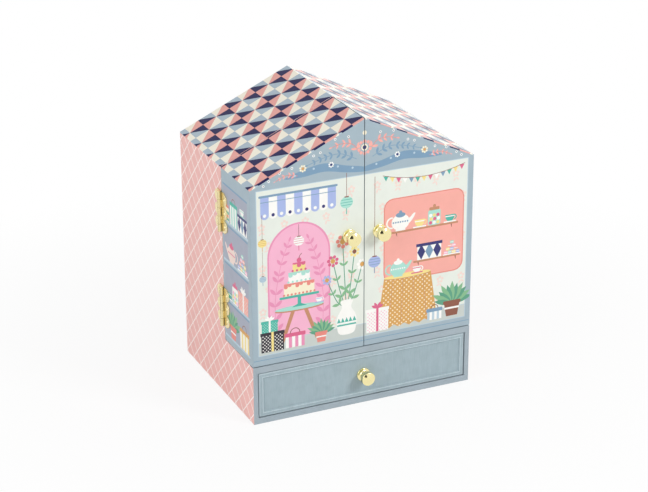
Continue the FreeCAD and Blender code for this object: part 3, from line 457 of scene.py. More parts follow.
# Fittings: drawn and pressed brass, polished and lacquered, so it mirrors its surroundings with a soft edge.
POLISHED_BRASS = Finish("polished_lacquered_brass", "#f5e9b0", roughness=0.1, metallic=1.0, grain_depth=0.002,
                        mottle=0.05)
HINGE_BRASS = Finish("pressed_hinge_brass", "#ead9a6", roughness=0.14, metallic=1.0, grain_depth=0.006,
                     mottle=0.08)
# Movement: machined brass, bright but with a soft, unpolished sheen.
MOVEMENT_BRASS = Finish("machined_movement_brass", "#c9a659", roughness=0.35, metallic=1.0)
# Steel: drawn wire, comb and screws under bright zinc, cooler and duller than the brass.
ZINC_STEEL = Finish("zinc_plated_steel", "#b9bcc0", roughness=0.3, metallic=1.0)
# Magnets: nickel plate, a warm bright grey.
NICKEL = Finish("nickel_plated_magnet", "#d9d7d2", roughness=0.3, metallic=1.0, grain_depth=0.002)
# Mirror: float glass silvered behind, near enough a perfect reflector.
SILVERED_GLASS = Finish("silvered_mirror_glass", "#e9eef0", roughness=0.01, metallic=1.0, grain_depth=0.0,
                        mottle=0.01, mottle_size=30.0)
# Fly: moulded nylon, off-white and half matt.
MOULDED_NYLON = Finish("moulded_nylon", "#ebe8dc", roughness=0.5)
# Stage: gloss enamel, whose clear top reflects sharply over the white.
STAGE_ENAMEL = Finish("stage_gloss_enamel", "#f7eef0", roughness=0.2, coat=0.4, grain_depth=0.002)
# Gilt: bronze paint on beads and trimmings, less sharp than the solid brass.
GILT = Finish("gilt_paper_and_paint", "#d9b765", roughness=0.32, metallic=0.9)
# Figure: moulded plastic with matt and satin paints; skin and cloth differ in colour and in how they shine.
SKIN_PLASTIC = Finish("moulded_skin_plastic", "#f2c6a8", roughness=0.42, grain_depth=0.003)
TIGHTS_PAINT = Finish("matt_tights_paint", "#f6dcd3", roughness=0.55, grain=0.3, grain_depth=0.004)
SATIN_PAINT = Finish("satin_shoe_paint", "#e8a2b6", roughness=0.28, coat=0.3, grain_depth=0.002)
BODICE_PAINT = Finish("satin_bodice_paint", "#e58aa9", roughness=0.3, coat=0.2, grain=0.35, grain_depth=0.01)
HAIR_PAINT = Finish("combed_hair_paint", "#5b3a2b", roughness=0.4, grain=0.25, grain_depth=0.04)
LASH_PAINT = Finish("fine_brush_paint", "#3c2a26", roughness=0.5, grain_depth=0.0)
LIP_PAINT = Finish("rose_lip_paint", "#d0637a", roughness=0.4, grain_depth=0.0)
# Tulle: a stiff open net, so it is thin and lets light through between its threads.
TULLE = NetCloth("pink_nylon_tulle", "#f8cfdb", roughness=0.6, grain_depth=0.0)


def placed(name: str, bm: BMesh) -> Object:
    """Puts a bmesh in metres into the scene as an object, and frees it.

    Args:
        name: The object's name.
        bm: The bmesh.

    Returns:
        The object.
    """
    mesh = bpy.data.meshes.new(name)
    bm.to_mesh(mesh)
    bm.free()
    obj = bpy.data.objects.new(name, mesh)
    bpy.context.scene.collection.objects.link(obj)
    return obj


def solid(name: str, bm: BMesh) -> Object:
    """Makes an object from a bmesh in millimetres, with its faces turned outward.

    Args:
        name: The object's name.
        bm: The bmesh, which is used up.

    Returns:
        The object, in the scene, with its mesh in metres.
    """
    bmesh.ops.recalc_face_normals(bm, faces=bm.faces)
    bmesh.ops.scale(bm, vec=(MM, MM, MM), verts=bm.verts)
    return placed(name, bm)


@contextmanager
def editing(obj: Object) -> Iterator[BMesh]:
    """Opens an object's mesh as a bmesh in metres, and writes it back at the end.

    Args:
        obj: The object.

    Yields:
        The bmesh.
    """
    bm = bmesh.new()
    bm.from_mesh(obj.data)
    yield bm
    bm.to_mesh(obj.data)
    bm.free()


def loft(bm: BMesh, rings: Sequence[Sequence[Sequence[float]]]) -> list[Face]:
    """Adds the closed skin through rings of points to a bmesh.

    Args:
        bm: The bmesh.
        rings: Rings of as many points each, or of one point where the skin ends in a tip.

    Returns:
        The faces between the rings, ring by ring.
    """
    made = [[bm.verts.new(spot) for spot in ring] for ring in rings]
    for end in (made[0], made[-1]):
        if len(end) > 2:
            bm.faces.new(end)
    count = max(len(ring) for ring in made)
    skin = []
    for low, high in zip(made, made[1:]):
        for index in range(count):
            following = (index + 1) % count
            corners = (low[index % len(low)], low[following % len(low)],
                       high[following % len(high)], high[index % len(high)])
            skin.append(bm.faces.new(list(dict.fromkeys(corners))))
    return skin


def prism(name: str, outline: Sequence[Point], plane: Plane, start: float, end: float) -> Object:
    """A closed prism between two depths.

    Args:
        name: The object's name.
        outline: The corners of its section, in order.
        plane: The plane of the section.
        start: The depth of one end.
        end: The depth of the other end.

    Returns:
        The prism as an object.
    """
    bm = bmesh.new()
    loft(bm, [[plane.spot(point, depth) for point in outline] for depth in (start, end)])
    return solid(name, bm)


def box(name: str, low: Sequence[float], high: Sequence[float]) -> Object:
    """A block between two corners."""
    outline = [(low[0], low[1]), (high[0], low[1]), (high[0], high[1]), (low[0], high[1])]
    return prism(name, outline, Plane.XY, low[2], high[2])


def around(middle: Point, radius: float, turns: Sequence[float]) -> Outline:
    """Points about a middle, at turns in radians."""
    return [(middle[0] + radius * math.cos(turn), middle[1] + radius * math.sin(turn)) for turn in turns]


def circle(middle: Point, radius: float, count: int = 40) -> Outline:
    """The corners of a round outline."""
    return around(middle, radius, [math.tau * index / count for index in range(count)])


def arc(middle: Point, radius: float, start: float, end: float, steps: int = 6) -> Outline:
    """Points along an arc between two angles."""
    turns = [math.radians(start + (end - start) * step / steps) for step in range(steps + 1)]
    return around(middle, radius, turns)


def shade(obj: Object, sharp: float) -> Object:
    """Shades an object smooth, apart from its sharp edges.

    Args:
        obj: The object.
        sharp: The least angle of a sharp edge.

    Returns:
        The same object.
    """
    obj.data.shade_smooth()
    obj.data.set_sharp_from_angle(angle=math.radians(sharp))
    return obj


def applied(obj: Object) -> Object:
    """Turns an object's modifiers into its plain mesh.

    Args:
        obj: The object.

    Returns:
        The same object.
    """
    depsgraph = bpy.context.evaluated_depsgraph_get()
    mesh = bpy.data.meshes.new_from_object(obj.evaluated_get(depsgraph), depsgraph=depsgraph)
    obj.modifiers.clear()
    old = obj.data
    obj.data = mesh
    mesh.name = obj.name
    bpy.data.meshes.remove(old)
    return obj


def merge(bm: BMesh, distance: float) -> None:
    """Merges the doubled vertices of a bmesh in metres and dissolves the edges inside its flat faces."""
    bmesh.ops.remove_doubles(bm, verts=bm.verts, dist=distance * MM)
    bmesh.ops.dissolve_limit(bm, angle_limit=math.radians(FLAT_ANGLE), verts=bm.verts, edges=bm.edges)


def carve(base: Object, tools: Sequence[Object], cut: Cut = Cut.TAKE) -> None:
    """Takes solids out of a base solid, or joins them to it, and cleans the result.

    Args:
        base: The solid that is changed.
        tools: The solids that are used up.
        cut: Whether they are taken out or joined.
    """
    for tool in tools:
        modifier = base.modifiers.new(tool.name, "BOOLEAN")
        modifier.object = tool
        modifier.operation = cut.value
        modifier.solver = "EXACT"
    applied(base)
    for tool in tools:
        bpy.data.meshes.remove(tool.data)
    with editing(base) as bm:
        merge(bm, CARVED_MERGE)
        bmesh.ops.recalc_face_normals(bm, faces=bm.faces)


def soften(obj: Object, width: float, segments: int = 2, limit: float = 35.0) -> None:
    """Rounds an object's edges with a live bevel and shades it smooth between them.

    Args:
        obj: The object.
        width: The width of the rounding.
        segments: How many facets it has.
        limit: The least angle of an edge that is rounded.
    """
    bevel = obj.modifiers.new("softened_edges", "BEVEL")
    bevel.width = width * MM
    bevel.segments = segments
    bevel.limit_method = "ANGLE"
    bevel.angle_limit = math.radians(limit)
    shade(obj, limit)


def cad_bmesh(nodes: Sequence[str]) -> BMesh:
    """A bmesh, in metres, of CAD nodes.

    Args:
        nodes: The nodes' names.

    Returns:
        The bmesh, merged.
    """
    bm = bmesh.new()
    for node in nodes:
        bm.from_mesh(bpy.data.objects[node].data)
    merge(bm, CAD_MERGE)
    return bm


def lathe(name: str, profile: Sequence[Point], place: Matrix, segments: int) -> Object:
    """A turned piece.

    Args:
        name: The object's name.
        profile: Pairs of radius and height, from the bottom up; a radius of 0 closes an end.
        place: Moves the piece, which is turned about Z, to where it stands.
        segments: The number of facets round it.

    Returns:
        The piece as an object.
    """
    rings = []
    for radius, height in profile:
        ring = circle((0, 0), radius, segments if radius else 1)
        rings.append([place @ Vector((*spot, height)) for spot in ring])
    bm = bmesh.new()
    loft(bm, rings)
    return shade(solid(name, bm), TURNED_SHARP)


def dress(obj: Object, finishes: Sequence[Finish]) -> None:
    """Gives an object its material slots; the faces' own numbers stay where it had none.

    Args:
        obj: The object.
        finishes: Its finishes, in the order of those numbers.
    """
    if obj.data.materials:
        obj.data.materials.clear()
    for finish in finishes:
        obj.data.materials.append(finish.material())


def settle(obj: Object, body: str, nodes: Sequence[str] = (), finishes: Sequence[Finish] = (),
           edge: float = 0.0) -> None:
    """Dresses an object, rounds its edges and makes it a piece of the box.

    Args:
        obj: The object.
        body: The CAD body that it moves with.
        nodes: The CAD nodes that it stands for.
        finishes: Its finishes, where it hasn't got them yet.
        edge: The width of its rounded edges, or 0.
    """
    if finishes:
        dress(obj, finishes)
    if edge:
        soften(obj, edge)
    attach(obj, body)
    if nodes:
        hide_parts(*nodes)
    LOG.info("%s rides on %s", obj.name, body)


def middle_of(face: Face) -> Vector:
    """The middle of a face of a bmesh in metres, in millimetres."""
    return face.calc_center_median() / MM


def flat_lie(face: Face, spot: Vector) -> Point:
    """The paper's coordinates at a corner of a face, in millimetres, where it is laid on square."""
    axes = (1, 2) if abs(face.normal.x) > MOSTLY else (0, 2) if abs(face.normal.y) > MOSTLY else (0, 1)
    return tuple(spot[axis] for axis in axes)


def score(bm: BMesh, faces: Sequence[Face], spot: Spot, normal: Spot) -> None:
    """Cuts faces of a bmesh in metres along the line where a plane meets them.

    Args:
        bm: The bmesh.
        faces: The faces that may be cut.
        spot: A point of the plane, in millimetres.
        normal: The plane's normal.
    """
    parts = dict.fromkeys(part for face in faces for part in (*face.verts, *face.edges))
    start = [length * MM for length in spot]
    bmesh.ops.bisect_plane(bm, geom=[*parts, *faces], plane_co=start, plane_no=normal)


@dataclass(frozen=True)
class BoxSizes:
    """The main sizes of the box, read from the CAD frame."""

    half_width: float
    front: float
    back: float
    deck: float
    deck_under: float
    base_top: float
    eave: float
    ridge: float
    ceiling: float
    seam: float
    case_front: float
    wall_inner: float
    bay_back: float
    partition_front: float
    partition_back: float

    @classmethod
    def from_frame(cls) -> "BoxSizes":
        """Measures the CAD nodes.

        Returns:
            The sizes.
        """
        wall_low, wall_high = node_box("right_wall")
        roof_low, roof_high = node_box("right_roof_board")
        deck_low, deck_high = node_box("deck_board")
        back_low, back_high = node_box("back_panel")
        partition_low, partition_high = node_box("partition_board")
        roof = bpy.data.objects["right_roof_board"].data
        outer = [vertex.co.z for vertex in roof.vertices if vertex.co.x > (wall_high.x - NEAR) * MM]
        return cls(
            half_width=wall_high.x, front=wall_low.y, back=wall_high.y, deck=deck_high.z,
            deck_under=deck_low.z, base_top=node_box("base_board")[1].z, eave=max(outer) / MM,
            ridge=roof_high.z, ceiling=back_high.z, seam=node_box("right_door_side")[1].y,
            case_front=roof_low.y, wall_inner=wall_low.x, bay_back=back_low.y,
            partition_front=partition_low.y, partition_back=partition_high.y,
        )

    @property
    def rise(self) -> float:
        """How much the roof climbs for each millimetre towards the ridge."""
        return (self.ridge - self.eave) / self.half_width

    @property
    def stretch(self) -> float:
        """The length on the slope of one millimetre across."""
        return math.hypot(1.0, self.rise)

    def ceiling_at(self, across: float) -> float:
        """The height of the underside of the roof at a distance from the middle."""
        return self.ceiling - self.rise * abs(across)

    def roof_at(self, across: float) -> float:
        """The height of the roof's upper face at a distance from the middle."""
        return self.ridge - self.rise * abs(across)

    def is_outside(self, middle: Vector) -> bool:
        """Whether a face with this middle is on the outer side of a wall."""
        return abs(abs(middle.x) - self.half_width) < NEAR


@dataclass
class PaperCover:
    """Papers a shell: which finish each face gets, and how the paper lies on it."""

    sizes: BoxSizes
    wrap: float = 0.65
    lean: float = 0.2
    shift: Point = (0.0, 0.0)

    @property
    def eave_end(self) -> float:
        """The height at which the roof paper ends on the outside below an eave."""
        return self.sizes.eave - self.wrap

    @property
    def gable_wrap(self) -> float:
        """How far, straight down, the roof paper is turned over the front of the gable."""
        return self.wrap * self.sizes.stretch

    def is_front(self, face: Face) -> bool:
        """Whether a face is on the front of the box."""
        return abs(middle_of(face).y - self.sizes.front) < NEAR and face.normal.y < -FACING

    def is_slope(self, face: Face) -> bool:
        """Whether a face is on a slope of the roof."""
        return face.normal.z > MOSTLY and abs(face.normal.x) > self.lean

    def is_eave(self, face: Face) -> bool:
        """Whether a face is the strip of roof paper on the outside below an eave."""
        middle = middle_of(face)
        return self.sizes.is_outside(middle) and abs(face.normal.x) > FACING and middle.z > self.eave_end

    def is_gable_edge(self, face: Face) -> bool:
        """Whether a face is the strip of roof paper turned over the front of the gable."""
        middle = middle_of(face)
        return self.is_front(face) and middle.z > self.sizes.roof_at(middle.x) - self.gable_wrap

    def is_roof(self, face: Face) -> bool:
        """Whether a face carries roof paper."""
        return self.is_slope(face) or self.is_eave(face) or self.is_gable_edge(face)

    def cut_strips(self, bm: BMesh) -> None:
        """Cuts the lines where the roof paper ends, on the eaves and along the front of the gable.

        Args:
            bm: The shell, in metres.
        """
        score(bm, list(bm.faces), (0, 0, self.eave_end), (0, 0, 1))
        for side in Side:
            half = [face for face in bm.faces if self.is_front(face) and middle_of(face).x * side.value > 0]
            score(bm, half, (0, 0, self.sizes.ridge - self.gable_wrap), (side.value * self.sizes.rise, 0, 1))

    def lay(self, face: Face, spot: Vector) -> Point:
        """The paper's coordinates at one corner of a face, so that patterns run on over edges.

        Args:
            face: The face.
            spot: The corner, in millimetres.

        Returns:
            Distances along the paper in millimetres.
        """
        sizes = self.sizes
        along, across = self.shift
        along += sizes.back
        if self.is_slope(face):
            return along - spot.y, across - spot.x * sizes.stretch
        if self.is_eave(face):
            slope = sizes.half_width * sizes.stretch + sizes.eave - spot.z
            return along - spot.y, across + math.copysign(slope, -spot.x)
        if self.is_gable_edge(face):
            below = (sizes.roof_at(spot.x) - spot.z) / sizes.stretch
            return along - sizes.front + below, across - spot.x * sizes.stretch
        return flat_lie(face, spot)

    def cover(self, obj: Object, finishes: Sequence[Finish],
              choose: Callable[[Face, Vector], Finish]) -> None:
        """Papers an object.

        Args:
            obj: The shell.
            finishes: Its finishes, the roof paper first.
            choose: Gives the finish for a face and its middle where there is no roof paper.
        """
        dress(obj, finishes)
        with editing(obj) as bm:
            self.cut_strips(bm)
            layer = bm.loops.layers.uv.new(PAPER_UV)
            for face in bm.faces:
                finish = finishes[0] if self.is_roof(face) else choose(face, middle_of(face))
                face.material_index = finishes.index(finish)
                for loop in face.loops:
                    loop[layer].uv = self.lay(face, loop.vert.co / MM)


class Ink(Enum):
    """The printer's inks."""

    GROUND = "#a2b4be"
    MINT_CREAM = "#e3e8df"
    BLUSH = "#eed8ce"
    FLOOR = "#c6cdc8"
    PINK = "#f2b4cd"
    DEEP_PINK = "#e793b6"
    ROSE = "#d9668a"
    CORAL = "#f2aca1"
    DEEP_CORAL = "#e58a7f"
    WHITE = "#f6f5f0"
    CREAM = "#f4ebcf"
    YELLOW = "#f2dd8f"
    MUSTARD = "#d7a35c"
    WOOD = "#c48c6b"
    BROWN = "#8d5a49"
    MINT = "#a9dccf"
    TEAL = "#4fb3a2"
    GREEN = "#86b88c"
    LEAF = "#5f9f83"
    SKY = "#b9cdd9"
    PERIWINKLE = "#a7b6e2"
    BLUE = "#7c9cb6"
    NAVY = "#3a3a72"
    BLACK = "#35323a"
    LILAC = "#a4a9b8"


def smooth(points: Sequence[Sequence[float]], steps: int = 4, closed: bool = True) -> list[tuple[float, ...]]:
    """A curve through a few points.

    Args:
        points: The points that the curve passes through.
        steps: How many pieces there are between two of them.
        closed: Whether the curve joins up.

    Returns:
        The points of the curve.
    """
    count = len(points)
    curve = []
    for index in range(count if closed else count - 1):
        near = [points[(index + step) % count] if closed else points[min(max(index + step, 0), count - 1)]
                for step in (-1, 0, 1, 2)]
        for step in range(steps):
            share = step / steps
            square, cube = share * share, share ** 3
            weights = (-share + 2 * square - cube, 2 - 5 * square + 3 * cube,
                       share + 4 * square - 3 * cube, cube - square)
            curve.append(tuple(sum(weight * value for weight, value in zip(weights, values)) / 2
                               for values in zip(*near)))
    return curve if closed else curve + [tuple(points[-1])]


def holds(outline: Sequence[Point], point: Point) -> bool:
    """Whether a point lies inside an outline.

    Args:
        outline: The corners, in order.
        point: The point.

    Returns:
        True where it does.
    """
    inside = False
    for (x0, z0), (x1, z1) in zip(outline, list(outline[1:]) + [outline[0]]):
        if (z0 > point[1]) != (z1 > point[1]):
            inside ^= point[0] < x0 + (point[1] - z0) / (z1 - z0) * (x1 - x0)
    return inside


@dataclass
class PrintSheet:
    """A printed sheet: flat shapes, each over those before it, cut to the sheet's outline."""

    name: str
    ground: Outline
    shapes: list[tuple[Outline, Ink]] = field(default_factory=list)
    weld: float = 1e-4

    def cells(self) -> tuple[list[Vector], list[tuple[list[int], Ink]]]:
        """Cuts the shapes to one another.

        Returns:
            The corners, and for each piece of one ink the numbers of its corners with the ink.
        """
        layers = [(self.ground, Ink.GROUND)] + self.shapes
        points, faces = [], []
        for outline, _ in layers:
            area = sum(x0 * z1 - x1 * z0 for (x0, z0), (x1, z1) in zip(outline, outline[1:] + outline[:1]))
            faces.append(list(range(len(points), len(points) + len(outline))))
            points.extend(Vector(point) for point in (outline if area > 0 else outline[::-1]))
        spots, _, cells, _, _, owners = delaunay_2d_cdt(points, [], faces, INSIDE_ONLY, self.weld, True)
        return spots, [(cell, layers[max(owner)][1]) for cell, owner in zip(cells, owners) if 0 in owner]

    def make(self, plane: Plane, face: float, back: float) -> Object:
        """Builds the sheet as a thin closed solid.

        Args:
            plane: The plane that the sheet lies on.
            face: The depth of the printed face.
            back: The depth of its back.

        Returns:
            The printed sheet.
        """
        spots, cells = self.cells()
        bm = bmesh.new()
        layer = bm.loops.layers.float_color.new(INK_LAYER)
        used = sorted({index for cell, _ in cells for index in cell})
        front = {index: bm.verts.new(plane.spot(spots[index], face)) for index in used}
        for cell, ink in cells:
            for loop in bm.faces.new([front[index] for index in cell]).loops:
                loop[layer] = linear(ink.value)
        walls = bmesh.ops.extrude_edge_only(bm, edges=[edge for edge in bm.edges if edge.is_boundary])["geom"]
        for part in walls:
            if isinstance(part, bmesh.types.BMVert):
                part.co[plane.value] = back
        bmesh.ops.holes_fill(bm, edges=[edge for edge in bm.edges if edge.is_boundary])
        return solid(self.name, bm)


@dataclass
class Brush:
    """Paints shapes on a sheet, measured from its own point; a hand of -1 mirrors them."""

    sheet: PrintSheet
    across: float = 0.0
    up: float = 0.0
    scale: float = 1.0
    hand: int = 1

    def spot(self, across: float, up: float) -> Point:
        """The place on the sheet of a point that is measured from the brush's own."""
        return self.across + self.hand * self.scale * across, self.up + self.scale * up

    def at(self, across: float, up: float, scale: float = 1.0) -> Self:
        """A brush at another point, measured from this one."""
        there = self.spot(across, up)
        return replace(self, across=there[0], up=there[1], scale=self.scale * scale)

    def shape(self, outline: Sequence[Point], ink: Ink) -> None:
        """Paints an outline in one ink."""
        self.sheet.shapes.append(([self.spot(*point) for point in outline], ink))

    def panel(self, low: Point, high: Point, ink: Ink, radius: float = 0.0) -> None:
        """Paints a rectangle.

        Args:
            low: Its lower left corner.
            high: Its upper right corner.
            ink: The ink.
            radius: The radius of its rounded corners, or 0.
        """
        left, right, foot, top = low[0] + radius, high[0] - radius, low[1] + radius, high[1] - radius
        corners = []
        for index, corner in enumerate(((right, foot), (right, top), (left, top), (left, foot))):
            corners += arc(corner, radius, 90 * index - 90, 90 * index, 4) if radius else [corner]
        self.shape(corners, ink)

    def disc(self, middle: Point, radius: float, ink: Ink, squash: float = 1.0, count: int = 16) -> None:
        """Paints a round or flattened disc."""
        self.shape([(x, middle[1] + (z - middle[1]) * squash) for x, z in circle(middle, radius, count)], ink)

    def discs(self, middles: Sequence[Point], radius: float, ink: Ink, count: int) -> None:
        """Paints a round disc at each of some points."""
        for middle in middles:
            self.disc(middle, radius, ink, count=count)

    def line(self, points: Sequence[Point], width: float, ink: Ink) -> None:
        """Paints a line of even width.

        Args:
            points: The points that it passes through.
            width: Its width.
            ink: The ink.
        """
        left, right = [], []
        for index, (x, z) in enumerate(points):
            before, after = points[max(index - 1, 0)], points[min(index + 1, len(points) - 1)]
            along = Vector((after[0] - before[0], after[1] - before[1])).normalized() * width / 2
            left.append((x - along.y, z + along.x))
            right.append((x + along.y, z - along.x))
        self.shape(left + right[::-1], ink)

    def leaf(self, root: Point, turn: float, length: float, width: float, ink: Ink) -> None:
        """Paints a pointed leaf.

        Args:
            root: Where it starts.
            turn: The angle at which it grows.
            length: Its length.
            width: Its width.
            ink: The ink.
        """
        along = Vector((math.cos(math.radians(turn)), math.sin(math.radians(turn))))
        beside = Vector((-along.y, along.x)) * width / 2
        shares = ((0, 0), (0.25, 0.75), (0.5, 1.0), (0.78, 0.7), (1, 0), (0.78, -0.7), (0.5, -1.0),
                  (0.25, -0.75))
        self.shape([tuple(Vector(root) + along * length * far + beside * wide) for far, wide in shares], ink)

    def flower(self, middle: Point, radius: float, petals: int, ink: Ink, heart: Ink) -> None:
        """Paints a round flower.

        Args:
            middle: Its middle.
            radius: Its radius.
            petals: The number of its petals.
            ink: The petals' ink.
            heart: The heart's ink.
        """
        turns = [math.tau * index / petals + 0.3 for index in range(petals)]
        self.discs(around(middle, 0.6 * radius, turns), radius * min(0.46, 1.7 / petals), ink, 10)
        self.disc(middle, radius * 0.34, heart, count=10)

    def sprig(self, points: Sequence[Point], leaves: int, length: float, stem: Ink, ink: Ink) -> None:
        """Paints a stem with pairs of leaves along it and one at its tip.

        Args:
            points: The points that the stem passes through.
            leaves: The number of pairs.
            length: The length of a leaf near the root.
            stem: The stem's ink.
            ink: The leaves' ink.
        """
        curve = smooth(points, 6, closed=False)
        self.line(curve, 0.45, stem)

        def turn_at(place: int) -> float:
            """The angle of the stem after one of its points."""
            spot, following = curve[place], curve[place + 1]
            return math.degrees(math.atan2(following[1] - spot[1], following[0] - spot[0]))

        for index in range(1, leaves + 1):
            place = index * (len(curve) - 1) // (leaves + 1)
            size = length * (1.1 - 0.45 * index / leaves)
            for lean in (48, -48):
                self.leaf(curve[place], turn_at(place) + lean, size, size * 0.4, ink)
        self.leaf(curve[-1], turn_at(len(curve) - 2), length * 0.6, length * 0.24, ink)

    def dotted(self, outline: Sequence[Point], pitch: float, radius: float, ink: Ink) -> None:
        """Paints staggered dots.

        Args:
            outline: The outline that holds them.
            pitch: The distance between two of them in a row.
            radius: A dot's radius.
            ink: The ink.
        """
        low_x, low_z = min(x for x, _ in outline), min(z for _, z in outline)
        high_x, high_z = max(x for x, _ in outline), max(z for _, z in outline)
        for row in range(int((high_z - low_z) / pitch * 2) + 1):
            for column in range(int((high_x - low_x) / pitch) + 2):
                spot = (low_x + (column + 0.5 * (row % 2)) * pitch, low_z + (row + 0.5) * pitch / 2)
                if all(holds(outline, edge) for edge in circle(spot, radius * 1.3, 4)):
                    self.disc(spot, radius, ink, count=7)


@dataclass
class TeaRoom(Brush):
    """A brush that knows the motifs of a small tea room, each drawn from the middle of its foot."""

    seed: int = 7

    def cake(self) -> None:
        """Paints a cake of three tiers on a footed stand."""
        self.shape([(-4.5, 0), (4.5, 0), (1, 1.6), (1, 5.5), (-1, 5.5), (-1, 1.6)], Ink.TEAL)
        self.panel((-11.5, 5.4), (11.5, 6.8), Ink.TEAL, 0.6)
        tiers = ((8.8, 6.8, 14, Ink.CREAM, Ink.DEEP_CORAL), (6.2, 14, 20.2, Ink.WHITE, Ink.MINT),
                 (3.7, 20.2, 25.4, Ink.YELLOW, Ink.ROSE))
        for half, low, high, body, icing in tiers:
            self.panel((-half, low), (half, high), body)
            count = int(half / 1.1)
            pitch = 2 * half / count
            for index in range(count):
                drop = 1.1 + 0.9 * ((index * 5 + count) % 3)
                middle = -half + pitch * (index + 0.5)
                self.panel((middle - pitch / 2, high - drop), (middle + pitch / 2, high), icing, pitch * 0.45)
            self.panel((-half, high - 0.9), (half, high), icing)
            pearls = [(-half + pitch * index, low + 0.7) for index in range(count + 1)]
            self.discs(pearls, 0.7, icing, 8)
        self.disc((0, 26.6), 1.4, Ink.ROSE)
        self.line([(0, 27.8), (0.5, 29.2), (1.6, 30.2)], 0.35, Ink.BROWN)

    def teapot(self, body: Ink, band: Ink) -> None:
        """Paints a round teapot.

        Args:
            body: The ink of the pot.
            band: The ink of its lid and its band of dots.
        """
        self.line(arc((-5, 5), 2.9, 80, 280, 8), 0.9, body)
        self.shape(smooth([(3.5, 3), (6.3, 4.6), (8.6, 8.4), (7.4, 8.6), (5.4, 6.6), (3.8, 6.4)], 3), body)
        self.panel((-2.8, 0), (2.8, 1), body)
        self.disc((0, 4.8), 5.2, body, 0.86, 22)
        self.disc((0, 8.8), 2.8, band, 0.5)
        self.disc((0, 10.4), 0.9, band)
        self.discs([(1.35 * index, 4.9) for index in range(-3, 4)], 0.5, band, 8)

    def cup(self, body: Ink, band: Ink) -> None:
        """Paints a cup.

        Args:
            body: The ink of the cup.
            band: The ink of its band and its saucer.
        """
        self.line(arc((2.6, 2.9), 1.4, -80, 80, 6), 0.6, body)
        self.panel((-4, 0), (4, 0.8), band, 0.35)
        self.shape([(-3.1, 4.6), (-2.7, 2.4), (-1.5, 0.8), (1.5, 0.8), (2.7, 2.4), (3.1, 4.6)], body)
        self.panel((-2.95, 3.3), (2.95, 3.9), band)

    def jar(self, glass: Ink, lid: Ink, sweets: Sequence[Ink]) -> None:
        """Paints a jar of sweets.

        Args:
            glass: The ink of the jar.
            lid: The ink of its lid.
            sweets: The inks of what is in it.
        """
        self.panel((-3.4, 0), (3.4, 8), glass, 1.2)
        for row in range(3):
            for column in range(3):
                ink = sweets[(row + 2 * column) % len(sweets)]
                self.disc((-2 + 2 * column + 0.3 * (row % 2), 1.3 + 1.9 * row), 0.95, ink, count=9)
        self.panel((-2.7, 7.8), (2.7, 9.4), lid, 0.4)
        self.disc((0, 10), 0.8, lid)

    def gift(self, half: float, high: float, paper: Ink, ribbon: Ink, dots: Ink) -> None:
        """Paints a box in dotted paper, tied with a bow.

        Args:
            half: Half its width.
            high: Its height.
            paper: The ink of the paper.
            ribbon: The ink of the ribbon.
            dots: The ink of the dots.
        """
        outline = [(-half, 0), (half, 0), (half, high), (-half, high)]
        self.shape(outline, paper)
        self.dotted(outline, 2.6, 0.5, dots)
        self.panel((-0.9, 0), (0.9, high), ribbon)
        self.panel((-half - 0.6, high - 2.4), (half + 0.6, high), paper)
        self.panel((-0.9, high - 2.4), (0.9, high), ribbon)
        for turn in (28, 62, 118, 152):
            self.leaf((0, high), turn, 5.2, 2.2, ribbon)
        self.disc((0, high + 0.3), 0.9, ribbon, count=10)

    def plant(self, pot: Ink) -> None:
        """Paints a bushy plant in a banded pot.

        Args:
            pot: The ink of the pot.
        """
        for index in range(11):
            ink = Ink.GREEN if index % 2 else Ink.LEAF
            self.leaf((0, 6.5), 14 + 152 * index / 10, 11 + 3 * math.sin(3.1 * index), 2.9, ink)
        self.shape([(-3, 0), (3, 0), (4.3, 7.2), (-4.3, 7.2)], pot)
        self.panel((-4.7, 6.2), (4.7, 8), pot, 0.5)
        self.panel((-3.9, 3.6), (3.9, 4.6), Ink.WHITE)

    def bouquet(self) -> None:
        """Paints a tall jug with long stems and round flowers."""
        stems = ((-7, 38, Ink.ROSE, 3.6), (-2, 47, Ink.DEEP_CORAL, 4.2), (4, 41, Ink.YELLOW, 3.2),
                 (8, 34, Ink.WHITE, 3.4), (-10, 29, Ink.PERIWINKLE, 2.9))
        for across, high, ink, radius in stems:
            stem = [(0.1 * across, 14), (0.5 * across, 0.6 * high), (across, high)]
            self.sprig(stem, 2, 4.6, Ink.LEAF, Ink.GREEN)
            self.flower((across, high), radius, 7, ink, Ink.BROWN if ink is Ink.YELLOW else Ink.MUSTARD)
        jug = ((-3.4, 0), (3.4, 0), (5, 4.5), (4.8, 9), (2.4, 13.5), (3, 17), (-3, 17), (-2.4, 13.5),
               (-4.8, 9), (-5, 4.5))
        self.shape(smooth(jug), Ink.WHITE)
        for middle in range(-4, 5, 2):
            self.shape([(middle - 1, 6), (middle + 1, 6), (middle, 8.4)], Ink.TEAL)
        self.panel((-4.9, 4.2), (4.9, 5), Ink.TEAL)

    def table(self, half: float, high: float) -> None:
        """Paints a round table under a long dotted cloth with a wavy hem.

        Args:
            half: Half the width of its top.
            high: Its height.
        """
        spread = half * 1.3
        hem = [(spread - 2 * spread * step / 24, 1.2 * math.sin(step * 1.55) - 0.4) for step in range(25)]
        cloth = [(-half, high), (half, high)] + hem
        self.shape(cloth, Ink.MUSTARD)
        self.dotted(cloth, 3.6, 0.62, Ink.CREAM)
        for share in (-0.62, -0.2, 0.24, 0.66):
            fold = [(share * half, high - 2), (share * half * 1.14, high / 2), (share * spread, 1)]
            self.line(fold, 0.35, Ink.WOOD)
        self.disc((0, high), half, Ink.WOOD, 0.1, 30)
        self.disc((0, high + 0.5), half, Ink.YELLOW, 0.1, 30)

